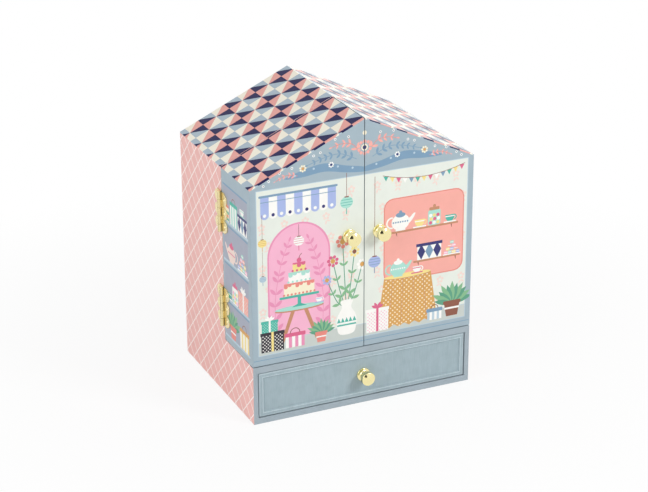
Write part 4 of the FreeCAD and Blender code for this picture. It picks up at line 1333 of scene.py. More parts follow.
    def macarons(self) -> None:
        """Paints a heap of round biscuits on a plate."""
        inks = (Ink.PINK, Ink.MINT, Ink.YELLOW, Ink.PERIWINKLE, Ink.CORAL)
        self.panel((-7.5, 0), (7.5, 0.9), Ink.WHITE, 0.4)
        for row, count in enumerate((4, 3, 2, 1)):
            for column in range(count):
                x, z = 3.4 * (column - (count - 1) / 2), 0.9 + 2.6 * row
                self.panel((x - 1.6, z), (x + 1.6, z + 2.5), inks[(row * 2 + column) % len(inks)], 0.9)
                self.panel((x - 1.5, z + 1), (x + 1.5, z + 1.5), Ink.WHITE)

    def hat_box(self, half: float, high: float, stripes: tuple[Ink, Ink], lid: Ink) -> None:
        """Paints a striped round box with a cord.

        Args:
            half: Half its width.
            high: Its height.
            stripes: The inks of its stripes.
            lid: The ink of its lid.
        """
        width = 2 * half / 6
        for index in range(6):
            low = -half + width * index
            self.panel((low, 0), (low + width, high), stripes[index % 2])
        self.panel((-half - 0.6, high - 1.6), (half + 0.6, high + 0.8), lid, 0.5)
        self.line(arc((0, high + 0.6), half * 0.5, 0, 180, 8), 0.5, Ink.BROWN)

    def diamond_box(self, half: float, high: float) -> None:
        """Paints a box covered with tall diamonds.

        Args:
            half: Half its width.
            high: Its height.
        """
        self.panel((-half, 0), (half, high), Ink.WHITE)
        reach = half / 3
        for index in range(3):
            middle = -half + reach * (2 * index + 1)
            self.shape([(middle - reach, high / 2), (middle, 0), (middle + reach, high / 2), (middle, high)],
                       Ink.BLUE if index % 2 else Ink.NAVY)
        self.panel((-half - 0.7, high - 1.4), (half + 0.7, high + 0.4), Ink.NAVY)

    def awning(self, half: float, high: float) -> None:
        """Paints a striped awning with a scalloped edge on a rail.

        Args:
            half: Half its width.
            high: Its height.
        """
        width = 2 * half / 9
        for index in range(9):
            low = -half + width * index
            ink, dot = (Ink.WHITE, Ink.NAVY) if index % 2 else (Ink.PERIWINKLE, Ink.WHITE)
            self.panel((low, 0), (low + width, high), ink)
            self.disc((low + width / 2, 0), width / 2, ink, 0.9)
            self.disc((low + width / 2, 0), width / 5, dot, count=10)
        self.panel((-half - 1.2, high - 0.4), (half + 1.2, high + 1.2), Ink.BLUE, 0.5)
        self.line([(-half, high * 0.72), (half, high * 0.72)], 0.5, Ink.BLUE)

    def bunting(self, length: float, sag: float, flags: int) -> None:
        """Paints pennants on a sagging cord.

        Args:
            length: The distance between the cord's ends.
            sag: How far its middle hangs.
            flags: The number of pennants.
        """
        inks = (Ink.TEAL, Ink.YELLOW, Ink.ROSE, Ink.WHITE, Ink.BLUE)
        half = length / flags * 0.4

        def hang(share: float) -> Point:
            """The cord's place at a share of its length."""
            return length * share, -4 * sag * share * (1 - share)

        for index in range(flags):
            x, z = hang((index + 0.5) / flags)
            self.shape([(x - half, z), (x + half, z), (x, z - 3.8)], inks[index % len(inks)])
        self.line([hang(step / 24) for step in range(25)], 0.4, Ink.BROWN)

    def lantern(self, cord: float, ink: Ink, rib: Ink) -> None:
        """Paints a paper lantern.

        Args:
            cord: The length of the cord that it hangs on.
            ink: The ink of the paper.
            rib: The ink of its ribs and tassel.
        """
        self.line([(0, 0), (0, cord)], 0.35, Ink.BROWN)
        self.disc((0, -3.6), 4.4, ink, 0.9, 20)
        for row in (-1, 0, 1):
            half = 4.2 * math.sqrt(1 - (0.45 * row) ** 2)
            self.line([(-half, -3.6 + 1.8 * row), (half, -3.6 + 1.8 * row)], 0.35, rib)
        self.panel((-1.5, -0.3), (1.5, 0.5), Ink.BROWN)
        self.line([(0, -7.4), (0, -11.5)], 0.6, rib)

    def shelf(self, half: float) -> None:
        """Paints a board on two brackets.

        Args:
            half: Half its width.
        """
        self.panel((-half, -1.5), (half, 0), Ink.WOOD, 0.3)
        for across in (-0.8 * half, 0.8 * half):
            self.shape([(across - 0.5, -1.5), (across + 0.5, -1.5), (across + 0.5, -4.4)], Ink.BROWN)

    def sprinkle(self, low: Point, high: Point) -> None:
        """Scatters pale sprigs over the wall behind the wares.

        Args:
            low: The lower left corner of the wall.
            high: Its upper right corner.
        """
        chance = random.Random(self.seed)
        wide, tall = high[0] - low[0], high[1] - low[1]
        columns, rows = int(wide / 13), int(tall / 14)
        for row in range(rows):
            for column in range(columns):
                x = low[0] + (column + 0.5 + 0.3 * (row % 2)) * wide / columns + chance.uniform(-1, 1)
                z = low[1] + (row + 0.5) * tall / rows + chance.uniform(-1, 1)
                turn = chance.uniform(40, 140)
                self.flower((x, z), 3.1, 5, Ink.BLUSH, Ink.MINT_CREAM)
                for lean in (-40, 40):
                    self.leaf((x, z - 3), turn + lean + 180, 3.4, 1.3, Ink.BLUSH)


@dataclass
class DoorPrint:
    """The printed papers of one door: a tea room's window in front and its shelves on the outer side."""

    sizes: BoxSizes
    side: Side
    frame: float = 4.7
    window_low: float = 52.5
    window_high: float = 174.1
    floor_line: float = 62.3
    proud: float = 0.06
    margin: float = 0.35
    gap: float = 0.6

    def build(self) -> None:
        """Prints both papers and lays them on the door."""
        body = f"{self.side.word}_door"
        sizes = self.sizes
        low = node_box(f"{body}_floor")[0].z + self.margin
        front = self.front_sheet(low).make(Plane.XZ, sizes.front - self.proud, sizes.front + self.proud)
        settle(front, body, finishes=[PRINTED_PAPER])
        face = self.side.value * (sizes.half_width + self.proud)
        flank = self.flank_sheet(low).make(Plane.YZ, face, face - self.side.value * 2 * self.proud)
        settle(flank, body, finishes=[PRINTED_PAPER])

    def front_sheet(self, low: float) -> PrintSheet:
        """Paints the front of the door.

        Args:
            low: The height of the sheet's lower edge.

        Returns:
            The painted sheet.
        """
        sizes = self.sizes
        sign = self.side.value
        inner, outer = self.gap / 2, sizes.half_width - 2 * self.margin
        drop = PaperCover(sizes).gable_wrap + 0.1
        sheet = PrintSheet(f"{self.side.word}_door_print", [
            (sign * inner, low), (sign * outer, low), (sign * outer, sizes.roof_at(outer) - drop),
            (sign * inner, sizes.roof_at(inner) - drop),
        ])
        page = TeaRoom(sheet, hand=sign)
        edge = sizes.half_width - self.frame
        page.panel((0, 48.7), (outer, 49.2), Ink.BLUE)
        page.panel((0, self.window_low - 0.5), (edge + 0.5, self.window_high + 0.5), Ink.SKY)
        page.panel((0, self.window_low), (edge, self.window_high), Ink.MINT_CREAM)
        page.sprinkle((2, self.floor_line), (edge - 1, self.window_high - 2))
        page.panel((0, self.window_low), (edge, self.floor_line), Ink.FLOOR)
        page.panel((0, self.floor_line - 0.4), (edge, self.floor_line), Ink.SKY)
        self.paint_gable(page)
        paint = self.paint_left if self.side is Side.LEFT else self.paint_right
        paint(TeaRoom(sheet))
        return sheet

    def paint_gable(self, page: TeaRoom) -> None:
        """Paints half of a garland under the gable; the other door has the other half.

        Args:
            page: The brush.
        """
        swag = ((0, 180), (14, 183), (30, 187), (46, 184.5), (60, 180), (46, 179.5), (30, 181), (14, 178),
                (0, 176.6))
        page.shape(smooth(swag), Ink.BLUE)
        page.sprig([(6, 186.5), (18, 192), (30, 191), (42, 187.5)], 7, 4.6, Ink.BLUE, Ink.BLUE)
        page.sprig([(3, 190), (9, 197.5), (17, 199), (24, 197.5)], 4, 5, Ink.DEEP_CORAL, Ink.CORAL)
        page.sprig([(50, 181), (58, 182.5), (66, 179.5)], 4, 3.2, Ink.DEEP_CORAL, Ink.CORAL)
        page.flower((0, 194), 7.4, 10, Ink.CORAL, Ink.CREAM)
        page.disc((0, 194), 1.5, Ink.NAVY)
        page.flower((46, 185.6), 3.2, 7, Ink.CREAM, Ink.MUSTARD)
        page.flower((25, 185.2), 2.6, 7, Ink.WHITE, Ink.NAVY)
        page.disc((0, 204.5), 1.6, Ink.CREAM)
        buds = ((12, 203.4), (33, 195), (38, 193.5), (54, 187), (63, 184.8), (71, 180.2), (22, 203),
                (75, 177.4))
        page.discs(buds, 0.95, Ink.WHITE, 10)
        page.discs(buds, 0.4, Ink.NAVY, 8)
        page.discs(((9, 180.6), (20, 183.2), (38, 184.3), (52, 181.3)), 0.8, Ink.SKY, 10)

    def paint_left(self, page: TeaRoom) -> None:
        """Paints a pink niche with a cake, an awning over it, flowers and gifts.

        Args:
            page: The brush.
        """
        middle, half, spring, floor = -49.5, 23.5, 124, self.floor_line
        niche = [(middle - half, floor), (middle + half, floor)] + arc((middle, spring), half, 0, 180, 22)
        page.shape(niche, Ink.DEEP_PINK)
        page.shape([(middle + (x - middle) * 0.95, floor + (z - floor) * 0.986) for x, z in niche], Ink.PINK)
        for lean in (1, -1):
            root = middle - 17.5 * lean
            page.sprig([(root, 66), (root - 0.5 * lean, 92), (root + 4 * lean, 118), (root + 10 * lean, 134)],
                       9, 7.4, Ink.DEEP_PINK, Ink.DEEP_PINK)
        page.at(middle, 137, 0.9).lantern(10, Ink.WHITE, Ink.ROSE)
        for lean in (1, -1):
            page.shape([(middle - 15 * lean, 58), (middle - 12.3 * lean, 58), (middle - 3 * lean, 83),
                        (middle - 6 * lean, 83)], Ink.WOOD)
        page.disc((middle, 83.4), 18.5, Ink.WOOD, 0.1, 30)
        page.disc((middle, 84.4), 18.5, Ink.MINT, 0.1, 30)
        page.at(middle, 85, 1.3).cake()
        page.at(middle + 15, 85, 0.85).cup(Ink.WHITE, Ink.PERIWINKLE)
        page.at(middle, 156).awning(28, 13.5)
        page.at(-13.5, 57, 1.5).bouquet()
        page.at(-70, 54.3).gift(8.5, 15, Ink.BLACK, Ink.YELLOW, Ink.WHITE)
        page.at(-72, 69.3, 0.8).gift(7.5, 11, Ink.TEAL, Ink.WHITE, Ink.MINT)
        page.at(-53, 54.5, 1.2).hat_box(6, 8.5, (Ink.WHITE, Ink.DEEP_PINK), Ink.ROSE)
        page.at(-33, 54.5).plant(Ink.DEEP_CORAL)
        page.at(-13.5, 160, 1.1).lantern(16, Ink.MINT, Ink.TEAL)
        page.at(-76.5, 139, 0.75).lantern(24, Ink.YELLOW, Ink.MUSTARD)
        page.at(-76.5, 112, 0.6).lantern(30, Ink.SKY, Ink.BLUE)

    def paint_right(self, page: TeaRoom) -> None:
        """Paints a coral alcove with two shelves of wares, a tea table, gifts and a plant.

        Args:
            page: The brush.
        """
        page.panel((15, 90), (78, 153), Ink.DEEP_CORAL, 7)
        page.panel((15.8, 90.8), (77.2, 152.2), Ink.CORAL, 6.4)
        page.at(46.5, 128).shelf(27)
        page.at(28, 128, 1.35).teapot(Ink.WHITE, Ink.BLUE)
        page.at(43, 128, 1.3).cup(Ink.YELLOW, Ink.WHITE)
        page.at(54.5, 128, 1.45).jar(Ink.MINT, Ink.WOOD, (Ink.ROSE, Ink.YELLOW, Ink.WHITE))
        page.at(67, 128, 1.25).cup(Ink.TEAL, Ink.WHITE)
        page.at(57, 103).shelf(18.5)
        page.at(51, 103, 1.25).diamond_box(7.6, 9.5)
        page.at(69, 103, 0.95).macarons()
        page.at(34, 56).table(18.5, 37)
        page.at(26.5, 93.2, 1.25).teapot(Ink.MINT, Ink.WHITE)
        page.at(41.5, 93.4, 1.15).cup(Ink.WHITE, Ink.ROSE)
        page.at(10.5, 54).gift(8.6, 18, Ink.WHITE, Ink.ROSE, Ink.PINK)
        page.at(70, 55, 1.5).plant(Ink.BROWN)
        page.at(56, 54.5, 1.15).hat_box(5, 7, (Ink.SKY, Ink.WHITE), Ink.BLUE)
        page.at(8, 112, 1.1).lantern(54, Ink.PERIWINKLE, Ink.BLUE)
        page.at(14, 171).bunting(64, 5, 13)

    def flank_sheet(self, low: float) -> PrintSheet:
        """Paints the outer side: four shelves of wares.

        Args:
            low: The height of the sheet's lower edge.

        Returns:
            The painted sheet.
        """
        first, last = self.sizes.front + self.margin, self.sizes.seam - self.margin
        top = PaperCover(self.sizes).eave_end - 0.2
        ground = [(first, low), (last, low), (last, top), (first, top)]
        sheet = PrintSheet(f"{self.side.word}_door_flank_print", ground)
        page = TeaRoom(sheet)
        for level in (51, 80, 109.5, 139):
            page.panel((-61.5, level), (-17, level + 27), Ink.LILAC)
            page.panel((-61.5, level + 25.6), (-17, level + 27), Ink.BLUE)
            page.panel((-62.3, level - 1.6), (-16.2, level), Ink.SKY)
        page.at(-52, 51, 1.2).hat_box(6.8, 12, (Ink.YELLOW, Ink.WHITE), Ink.MUSTARD)
        page.at(-31, 51, 1.25).plant(Ink.DEEP_CORAL)
        page.at(-51, 80, 1.15).gift(7.6, 12, Ink.CORAL, Ink.WHITE, Ink.BLUSH)
        page.at(-36, 80, 1.6).jar(Ink.WHITE, Ink.ROSE, (Ink.PINK, Ink.MINT, Ink.YELLOW))
        page.at(-26, 80, 1.1).cup(Ink.TEAL, Ink.WHITE)
        page.at(-51, 109.5, 1.25).macarons()
        page.at(-31, 109.5, 1.4).teapot(Ink.BLUSH, Ink.ROSE)
        page.at(-52, 139, 1.1).diamond_box(7.2, 11)
        page.at(-52, 151.6, 1.1).cup(Ink.WHITE, Ink.MINT)
        page.at(-36.5, 139, 1.15).hat_box(5.6, 14, (Ink.MINT, Ink.WHITE), Ink.TEAL)
        page.at(-24, 139, 1.3).jar(Ink.CREAM, Ink.DEEP_CORAL, (Ink.TEAL, Ink.CORAL))
        return sheet


def magnet_pocket(side: Side, play: float, low: float, high: float) -> Object:
    """A tool for the pocket of a door's magnet, or of the magnet below it.

    Args:
        side: The door's side.
        play: The play round the magnet.
        low: The height of the tool's lower end.
        high: The height of its upper end.

    Returns:
        The tool, as a solid.
    """
    near, far = node_box(f"{side.word}_door_magnet")
    middle = (near + far) / 2
    radius = (far.x - near.x) / 2 + play
    return prism("magnet_pocket", circle((middle.x, middle.y), radius), Plane.XY, low, high)


@dataclass
class Case:
    """The fixed case: walls, roof, back, deck and base under one cover of paper."""

    sizes: BoxSizes
    edge: float = 0.4
    border: float = 6.0
    overshoot: float = 5.0
    magnet_play: float = 0.05
    wire_play: float = 0.3
    wire_travel: float = 4.0
    wire_notch: float = 2.1
    reach: float = 1.0

    def build(self) -> None:
        """Builds the shell and papers it."""
        sizes = self.sizes
        half = sizes.half_width
        shell = box("case_shell", (-half, sizes.front, 0), (half, sizes.back, sizes.deck))
        gable = [(-half, 0), (half, 0), (half, sizes.eave), (0, sizes.ridge), (-half, sizes.eave)]
        carve(shell, [prism("house", gable, Plane.XZ, sizes.case_front, sizes.back)], Cut.JOIN)
        carve(shell, self.hollows())
        with editing(shell) as bm:
            score(bm, list(bm.faces), (0, sizes.front + self.border, 0), (0, 1, 0))
        finishes = [ROOF_PAPER, TRELLIS_PAPER, RIM_PAPER, LINING_PAPER, PLAIN_LINING]
        PaperCover(sizes).cover(shell, finishes, self.choose_paper)
        settle(shell, "case", [
            "left_wall", "right_wall", "left_roof_board", "right_roof_board", "back_panel", "base_board",
            "deck_board", "partition_board",
        ], edge=self.edge)

    def hollows(self) -> list[Object]:
        """The room, the drawer's bay, the movement's bay and the holes for what passes through the boards.

        Returns:
            The tools that cut them.
        """
        sizes = self.sizes
        inner = sizes.wall_inner
        low, high = sizes.base_top, sizes.deck_under
        spring = sizes.ceiling_at(inner)
        room = [(-inner, sizes.deck), (inner, sizes.deck), (inner, spring), (0, sizes.ceiling),
                (-inner, spring)]
        wire_low, wire_high = node_box("stop_wire")
        left, right = wire_low.x - self.wire_play, wire_high.x + self.wire_play
        wire_front = wire_low.y - self.wire_travel - self.wire_play
        wire_back = wire_low.y + wire_high.x - wire_low.x + self.wire_play
        magnet_low, magnet_high = node_box("left_door_magnet")
        pocket = sizes.deck - (magnet_high.z - magnet_low.z)
        return [
            prism("room", room, Plane.XZ, sizes.case_front - self.overshoot, sizes.bay_back),
            box("drawer_bay", (-inner, sizes.front - self.overshoot, low),
                (inner, sizes.partition_front, high)),
            box("movement_bay", (-inner, sizes.partition_back, low), (inner, sizes.bay_back, high)),
            box("wire_slot", (left, wire_front, high - self.reach),
                (right, wire_back, sizes.deck + self.reach)),
            box("wire_notch", (left, sizes.partition_front - self.reach, high - self.wire_notch),
                (right, sizes.partition_back + self.reach, high)),
            *(magnet_pocket(side, self.magnet_play, pocket, sizes.deck + self.reach) for side in Side),
        ]

    def choose_paper(self, face: Face, middle: Vector) -> Finish:
        """Trellis outside, grey-blue in front and below, lining in the room and plain paper in the bays.

        Args:
            face: The face.
            middle: Its middle.

        Returns:
            The paper on it.
        """
        sizes = self.sizes
        if sizes.is_outside(middle) or middle.y > sizes.back - NEAR:
            return TRELLIS_PAPER
        if middle.y < sizes.front + self.border or middle.z < NEAR:
            return RIM_PAPER
        if middle.z > sizes.deck - NEAR:
            at_seam = middle.y < sizes.case_front + NEAR and face.normal.y < -FACING
            return TRELLIS_PAPER if at_seam else LINING_PAPER
        return PLAIN_LINING


@dataclass
class Door:
    """One door: a deep papered tray with half the gable and its own piece of roof."""

    sizes: BoxSizes
    side: Side
    edge: float = 0.3
    rail_board: float = 2.2
    overshoot: float = 5.0
    reach: float = 1.0
    paper_shift: Point = (-0.75, 0.3)
    papers: tuple[Finish, ...] = (ROOF_PAPER, GREY_BLUE_PAPER, LINING_PAPER)

    @property
    def body(self) -> str:
        """The CAD body of this door."""
        return f"{self.side.word}_door"

    def node(self, part: str) -> str:
        """The CAD node of a part of this door."""
        return f"{self.body}_{part}"

    def build(self) -> None:
        """Builds the shell, its shelf and its rail."""
        sizes = self.sizes
        half = sizes.half_width
        front_low, front_high = node_box(self.node("front"))
        floor_low, floor_high = node_box(self.node("floor"))
        magnet_low, magnet_high = node_box(self.node("magnet"))
        floor_top = floor_low.z + (front_high.y - front_low.y)
        split, stile = sorted(abs(corner.x) for corner in node_box(self.node("meeting_wall")))
        flank = min(abs(corner.x) for corner in node_box(self.node("side")))
        outer = [(half, floor_low.z), (split, floor_low.z), (split, sizes.roof_at(split)), (half, sizes.eave)]
        inner = [(flank, floor_top), (stile, floor_top), (stile, sizes.ceiling_at(stile)),
                 (flank, sizes.ceiling_at(flank))]
        outer, inner = ([(self.side.value * x, z) for x, z in outline] for outline in (outer, inner))
        shell = prism(f"{self.body}_shell", outer, Plane.XZ, sizes.front, sizes.seam)
        carve(shell, [
            prism("tray_room", inner, Plane.XZ, front_high.y, sizes.seam + self.overshoot),
            magnet_pocket(self.side, 0.0, magnet_low.z - self.reach, magnet_high.z),
        ])
        PaperCover(sizes, shift=self.paper_shift).cover(shell, self.papers, self.choose_paper)
        covered = [self.node(part) for part in ("front", "side", "roof", "meeting_wall", "floor")]
        settle(shell, self.body, covered, edge=self.edge)
        self.build_trays(floor_top, floor_high.z - floor_top)

    def build_trays(self, floor_top: float, rail_height: float) -> None:
        """Builds the shelf and the two rails along the open edge.

        Args:
            floor_top: The height of the door's floor.
            rail_height: How far a rail stands above its board.
        """
        seam = self.sizes.seam
        low, high = node_box(self.node("shelf"))
        rail_front, top = seam - self.rail_board, high.z - rail_height
        profile = [(low.y, low.z), (seam, low.z), (seam, high.z), (rail_front, high.z), (rail_front, top),
                   (low.y, top)]
        shelf = prism(self.node("shelf_tray"), profile, Plane.YZ, low.x, high.x)
        rail = box(self.node("floor_rail"), (low.x, rail_front, floor_top),
                   (high.x, seam, floor_top + rail_height))
        for obj, nodes in ((shelf, [self.node("shelf")]), (rail, [])):
            PaperCover(self.sizes).cover(obj, self.papers, self.choose_tray_paper)
            settle(obj, self.body, nodes, edge=self.edge)

    def choose_paper(self, face: Face, middle: Vector) -> Finish:
        """Grey-blue outside and on the rim, lining in the tray.

        Args:
            face: The face; not used.
            middle: Its middle.

        Returns:
            The paper on it.
        """
        sizes = self.sizes
        outside = (sizes.is_outside(middle) or middle.y < sizes.front + NEAR or middle.y > sizes.seam - NEAR
                   or abs(middle.x) < self.reach or middle.z < sizes.deck + self.reach)
        return GREY_BLUE_PAPER if outside else LINING_PAPER

    def choose_tray_paper(self, face: Face, middle: Vector) -> Finish:
        """Grey-blue on the outer face of a rail, lining elsewhere."""
        return GREY_BLUE_PAPER if middle.y > self.sizes.seam - NEAR else LINING_PAPER


def islands(node: str) -> list[tuple[Vector, Vector]]:
    """The boxes, in millimetres, of the separate parts of a CAD node.

    Args:
        node: The CAD node.

    Returns:
        The lowest and highest corner of each part.
    """
    bm = cad_bmesh([node])
    seen, boxes = set(), []
    for vert in bm.verts:
        if vert in seen:
            continue
        part, waiting = [], [vert]
        seen.add(vert)
        while waiting:
            reached = waiting.pop()
            part.append(reached.co / MM)
            fresh = [edge.other_vert(reached) for edge in reached.link_edges]
            waiting.extend(other for other in fresh if other not in seen)
            seen.update(fresh)
        boxes.append(tuple(Vector([pick(lengths) for lengths in zip(*part)]) for pick in (min, max)))
    bm.free()
    return boxes


def node_group(name: str, **inputs: str) -> tuple[Tree, bpy.types.NodeOutputs]:
    """A geometry node tree that takes a mesh, a material and some named inputs.

    Args:
        name: The tree's name.
        inputs: The kind of each named input.

    Returns:
        The tree and the sockets of what it is given.
    """
    tree = bpy.data.node_groups.new(name, "GeometryNodeTree")
    tree.interface.new_socket("Geometry", in_out="OUTPUT", socket_type="NodeSocketGeometry")
    for label, kind in {"Geometry": "Geometry", **inputs, "Material": "Material"}.items():
        tree.interface.new_socket(label, in_out="INPUT", socket_type=f"NodeSocket{kind}")
    return tree, add_node(tree, "GroupInput").node.outputs


def end_group(tree: Tree, shape: Socket, material: Socket) -> None:
    """Ends a tree: smooth, realised and with the material that it was given.

    Args:
        tree: The tree.
        shape: The shape that it has made.
        material: The material.
    """
    shaded = add_node(tree, "SetShadeSmooth", {"Geometry": shape})
    realised = add_node(tree, "RealizeInstances", {"Geometry": shaded})
    dressed = add_node(tree, "SetMaterial", {"Geometry": realised, "Material": material})
    add_node(tree, "GroupOutput", {"Geometry": dressed})


def grow(obj: Object, tree: Tree, finish: Finish, **values: object) -> Object:
    """Runs a tree on an object and keeps the result as its plain mesh.

    Args:
        obj: The object whose mesh the tree takes.
        tree: The geometry node tree.
        finish: The finish of what it makes.
        values: The value of each named input.

    Returns:
        The same object.
    """
    values["Material"] = finish.material()
    modifier = obj.modifiers.new(tree.name, "NODES")
    modifier.node_group = tree
    for item in tree.interface.items_tree:
        if item.in_out == "INPUT" and item.name in values:
            modifier[item.identifier] = values[item.name]
    return applied(obj)


def ball_tree(name: str, facets: int, rings: int, on_path: bool) -> Tree:
    """A tree that sets a ball on every point of a mesh, or at every pitch along its edges.

    Args:
        name: The tree's name; it is built the first time that it is asked for.
        facets: The number of facets round a ball.
        rings: The number of its rings.
        on_path: Whether the balls are set along the edges.

    Returns:
        The tree.
    """
    if name in bpy.data.node_groups:
        return bpy.data.node_groups[name]
    tree, given = node_group(name, Pitch="Float", Radius="Float", Scale="Vector")
    points = given["Geometry"]
    if on_path:
        path = add_node(tree, "MeshToCurve", {"Mesh": points})
        points = add_node(tree, "ResampleCurve", {"Curve": path, "Length": given["Pitch"]}, mode="LENGTH")
    ball = add_node(tree, "MeshUVSphere", {"Segments": facets, "Rings": rings, "Radius": given["Radius"]})
    balls = add_node(tree, "InstanceOnPoints", {"Points": points, "Instance": ball, "Scale": given["Scale"]})
    end_group(tree, balls, given["Material"])
    return tree


def points_mesh(name: str, spots: Sequence[Spot], closed: bool) -> Object:
    """Points for a tree to work on.

    Args:
        name: The object's name.
        spots: The points.
        closed: Whether they are joined to a closed path.

    Returns:
        The object.
    """
    bm = bmesh.new()
    verts = [bm.verts.new(spot) for spot in spots]
    for pair in zip(verts, verts[1:] + verts[:1]) if closed else ():
        bm.edges.new(pair)
    return solid(name, bm)


def string_beads(name: str, spots: Sequence[Spot], radius: float, pitch: float, body: str) -> None:
    """Sets gilt beads along a closed path.

    Args:
        name: The piece's name.
        spots: The points of the path.
        radius: A bead's radius.
        pitch: The distance from bead to bead.
        body: The CAD body that they move with.
    """
    path = points_mesh(name, spots, closed=True)
    tree = ball_tree("beads_on_path", facets=12, rings=8, on_path=True)
    beads = grow(path, tree, GILT, Pitch=pitch * MM, Radius=radius * MM, Scale=(1.0, 1.0, 1.0))
    settle(beads, body)


@dataclass
class RoundedFitting:
    """CAD nodes that keep their form, with their edges rounded as the real piece's are."""

    name: str
    nodes: tuple[str, ...]
    body: str
    slot: str
    finish: Finish
    edge: float = 0.15

    def build(self) -> None:
        """Builds the rounded copy."""
        copy = placed(self.name, cad_bmesh(self.nodes))
        settle(copy, self.body, self.nodes, [self.finish], self.edge)


@dataclass
class Hinges:
    """Two pressed brass hinges a side: scalloped leaves, capped pins and domed nails."""

    edge: float = 0.14
    nail_height: float = 0.5

    def build(self) -> None:
        """Builds the leaves, pins and nails of both sides."""
        slot = "hinge_brass"
        for side in Side:
            door = f"{side.word}_door"
            for part, body in (("case", "case"), ("door", door)):
                leaves = f"{side.word}_hinge_{part}_leaves"
                RoundedFitting(f"{leaves}_pressed", (leaves,), body, slot, HINGE_BRASS, self.edge).build()
            self.build_nails(f"{door}_hinge_nails", door)
        self.build_nails("case_hinge_nails", "case")
        RoundedFitting("hinge_pins_turned", ("hinge_pins",), "case", slot, POLISHED_BRASS, self.edge).build()

    def build_nails(self, node: str, body: str) -> None:
        """Sets a domed head on the leaf at each nail.

        Args:
            node: The CAD node of the nails.
            body: The CAD body that they move with.
        """
        nails = islands(node)
        radius = (nails[-1][1].z - nails[-1][0].z) / 2
        spots = []
        for low, high in nails:
            outer = max(abs(low.x), abs(high.x)) - self.nail_height
            spots.append((math.copysign(outer, low.x), (low.y + high.y) / 2, (low.z + high.z) / 2))
        points = points_mesh(f"{node}_domed", spots, closed=False)
        tree = ball_tree("heads_on_points", facets=20, rings=12, on_path=False)
        heads = grow(points, tree, POLISHED_BRASS, Radius=radius * MM,
                     Scale=(self.nail_height / radius, 1.0, 1.0))
        settle(heads, body, [node])


@dataclass
class Knob:
    """A turned brass knob: a flange, a waisted neck and a head with a rounded rim and a low dome."""

    node: str
    body: str
    flange: float = 1.2
    neck_share: float = 0.54
    head_length: float = 5.2
    corner: float = 0.35
    rim: float = 0.45
    belly: float = 0.8
    steep: float = 32.0
    segments: int = 64

    def profile(self, radius: float, length: float) -> Outline:
        """The section of the knob.

        Args:
            radius: Its largest radius.
            length: Its length.

        Returns:
            Pairs of radius and height, from the foot up.
        """
        neck, head, foot = self.neck_share * radius, length - self.head_length, self.flange
        dome = (radius - self.rim) / math.sin(math.radians(self.steep))
        shoulder = length - dome * (1 - math.cos(math.radians(self.steep)))
        return [
            (0, 0), (radius - 0.2, 0), (radius, 0.2), (radius, foot - self.corner),
            *arc((radius - self.corner, foot - self.corner), self.corner, 0, 90, 3),
            (neck + 1.1, foot + 0.1), (neck + 0.45, foot + 0.5), (neck + 0.1, foot + 1.3), (neck, head * 0.6),
            (neck + 0.1, head - 0.9), (neck + 0.5, head - 0.3), (radius - 1.2, head),
            *arc((radius - self.belly, head + 0.85), self.belly, -90, 0, 4),
            *arc((radius - self.rim, shoulder - self.rim), self.rim, 0, 62, 5),
            *((dome * math.sin(math.radians(turn)), length - dome * (1 - math.cos(math.radians(turn))))
              for turn in (31, 26, 21, 16, 11, 6, 3)),
            (0, length),
        ]

    def build(self) -> None:
        """Turns the knob to the size of its CAD node."""
        low, high = node_box(self.node)
        profile = self.profile((high.x - low.x) / 2, high.y - low.y)
        place = Matrix.Translation(((low.x + high.x) / 2, high.y, (low.z + high.z) / 2))
        place = place @ Matrix.Rotation(math.radians(90), 4, "X")
        knob = lathe(f"{self.node}_turned", profile, place, self.segments)
        settle(knob, self.body, [self.node], [POLISHED_BRASS])


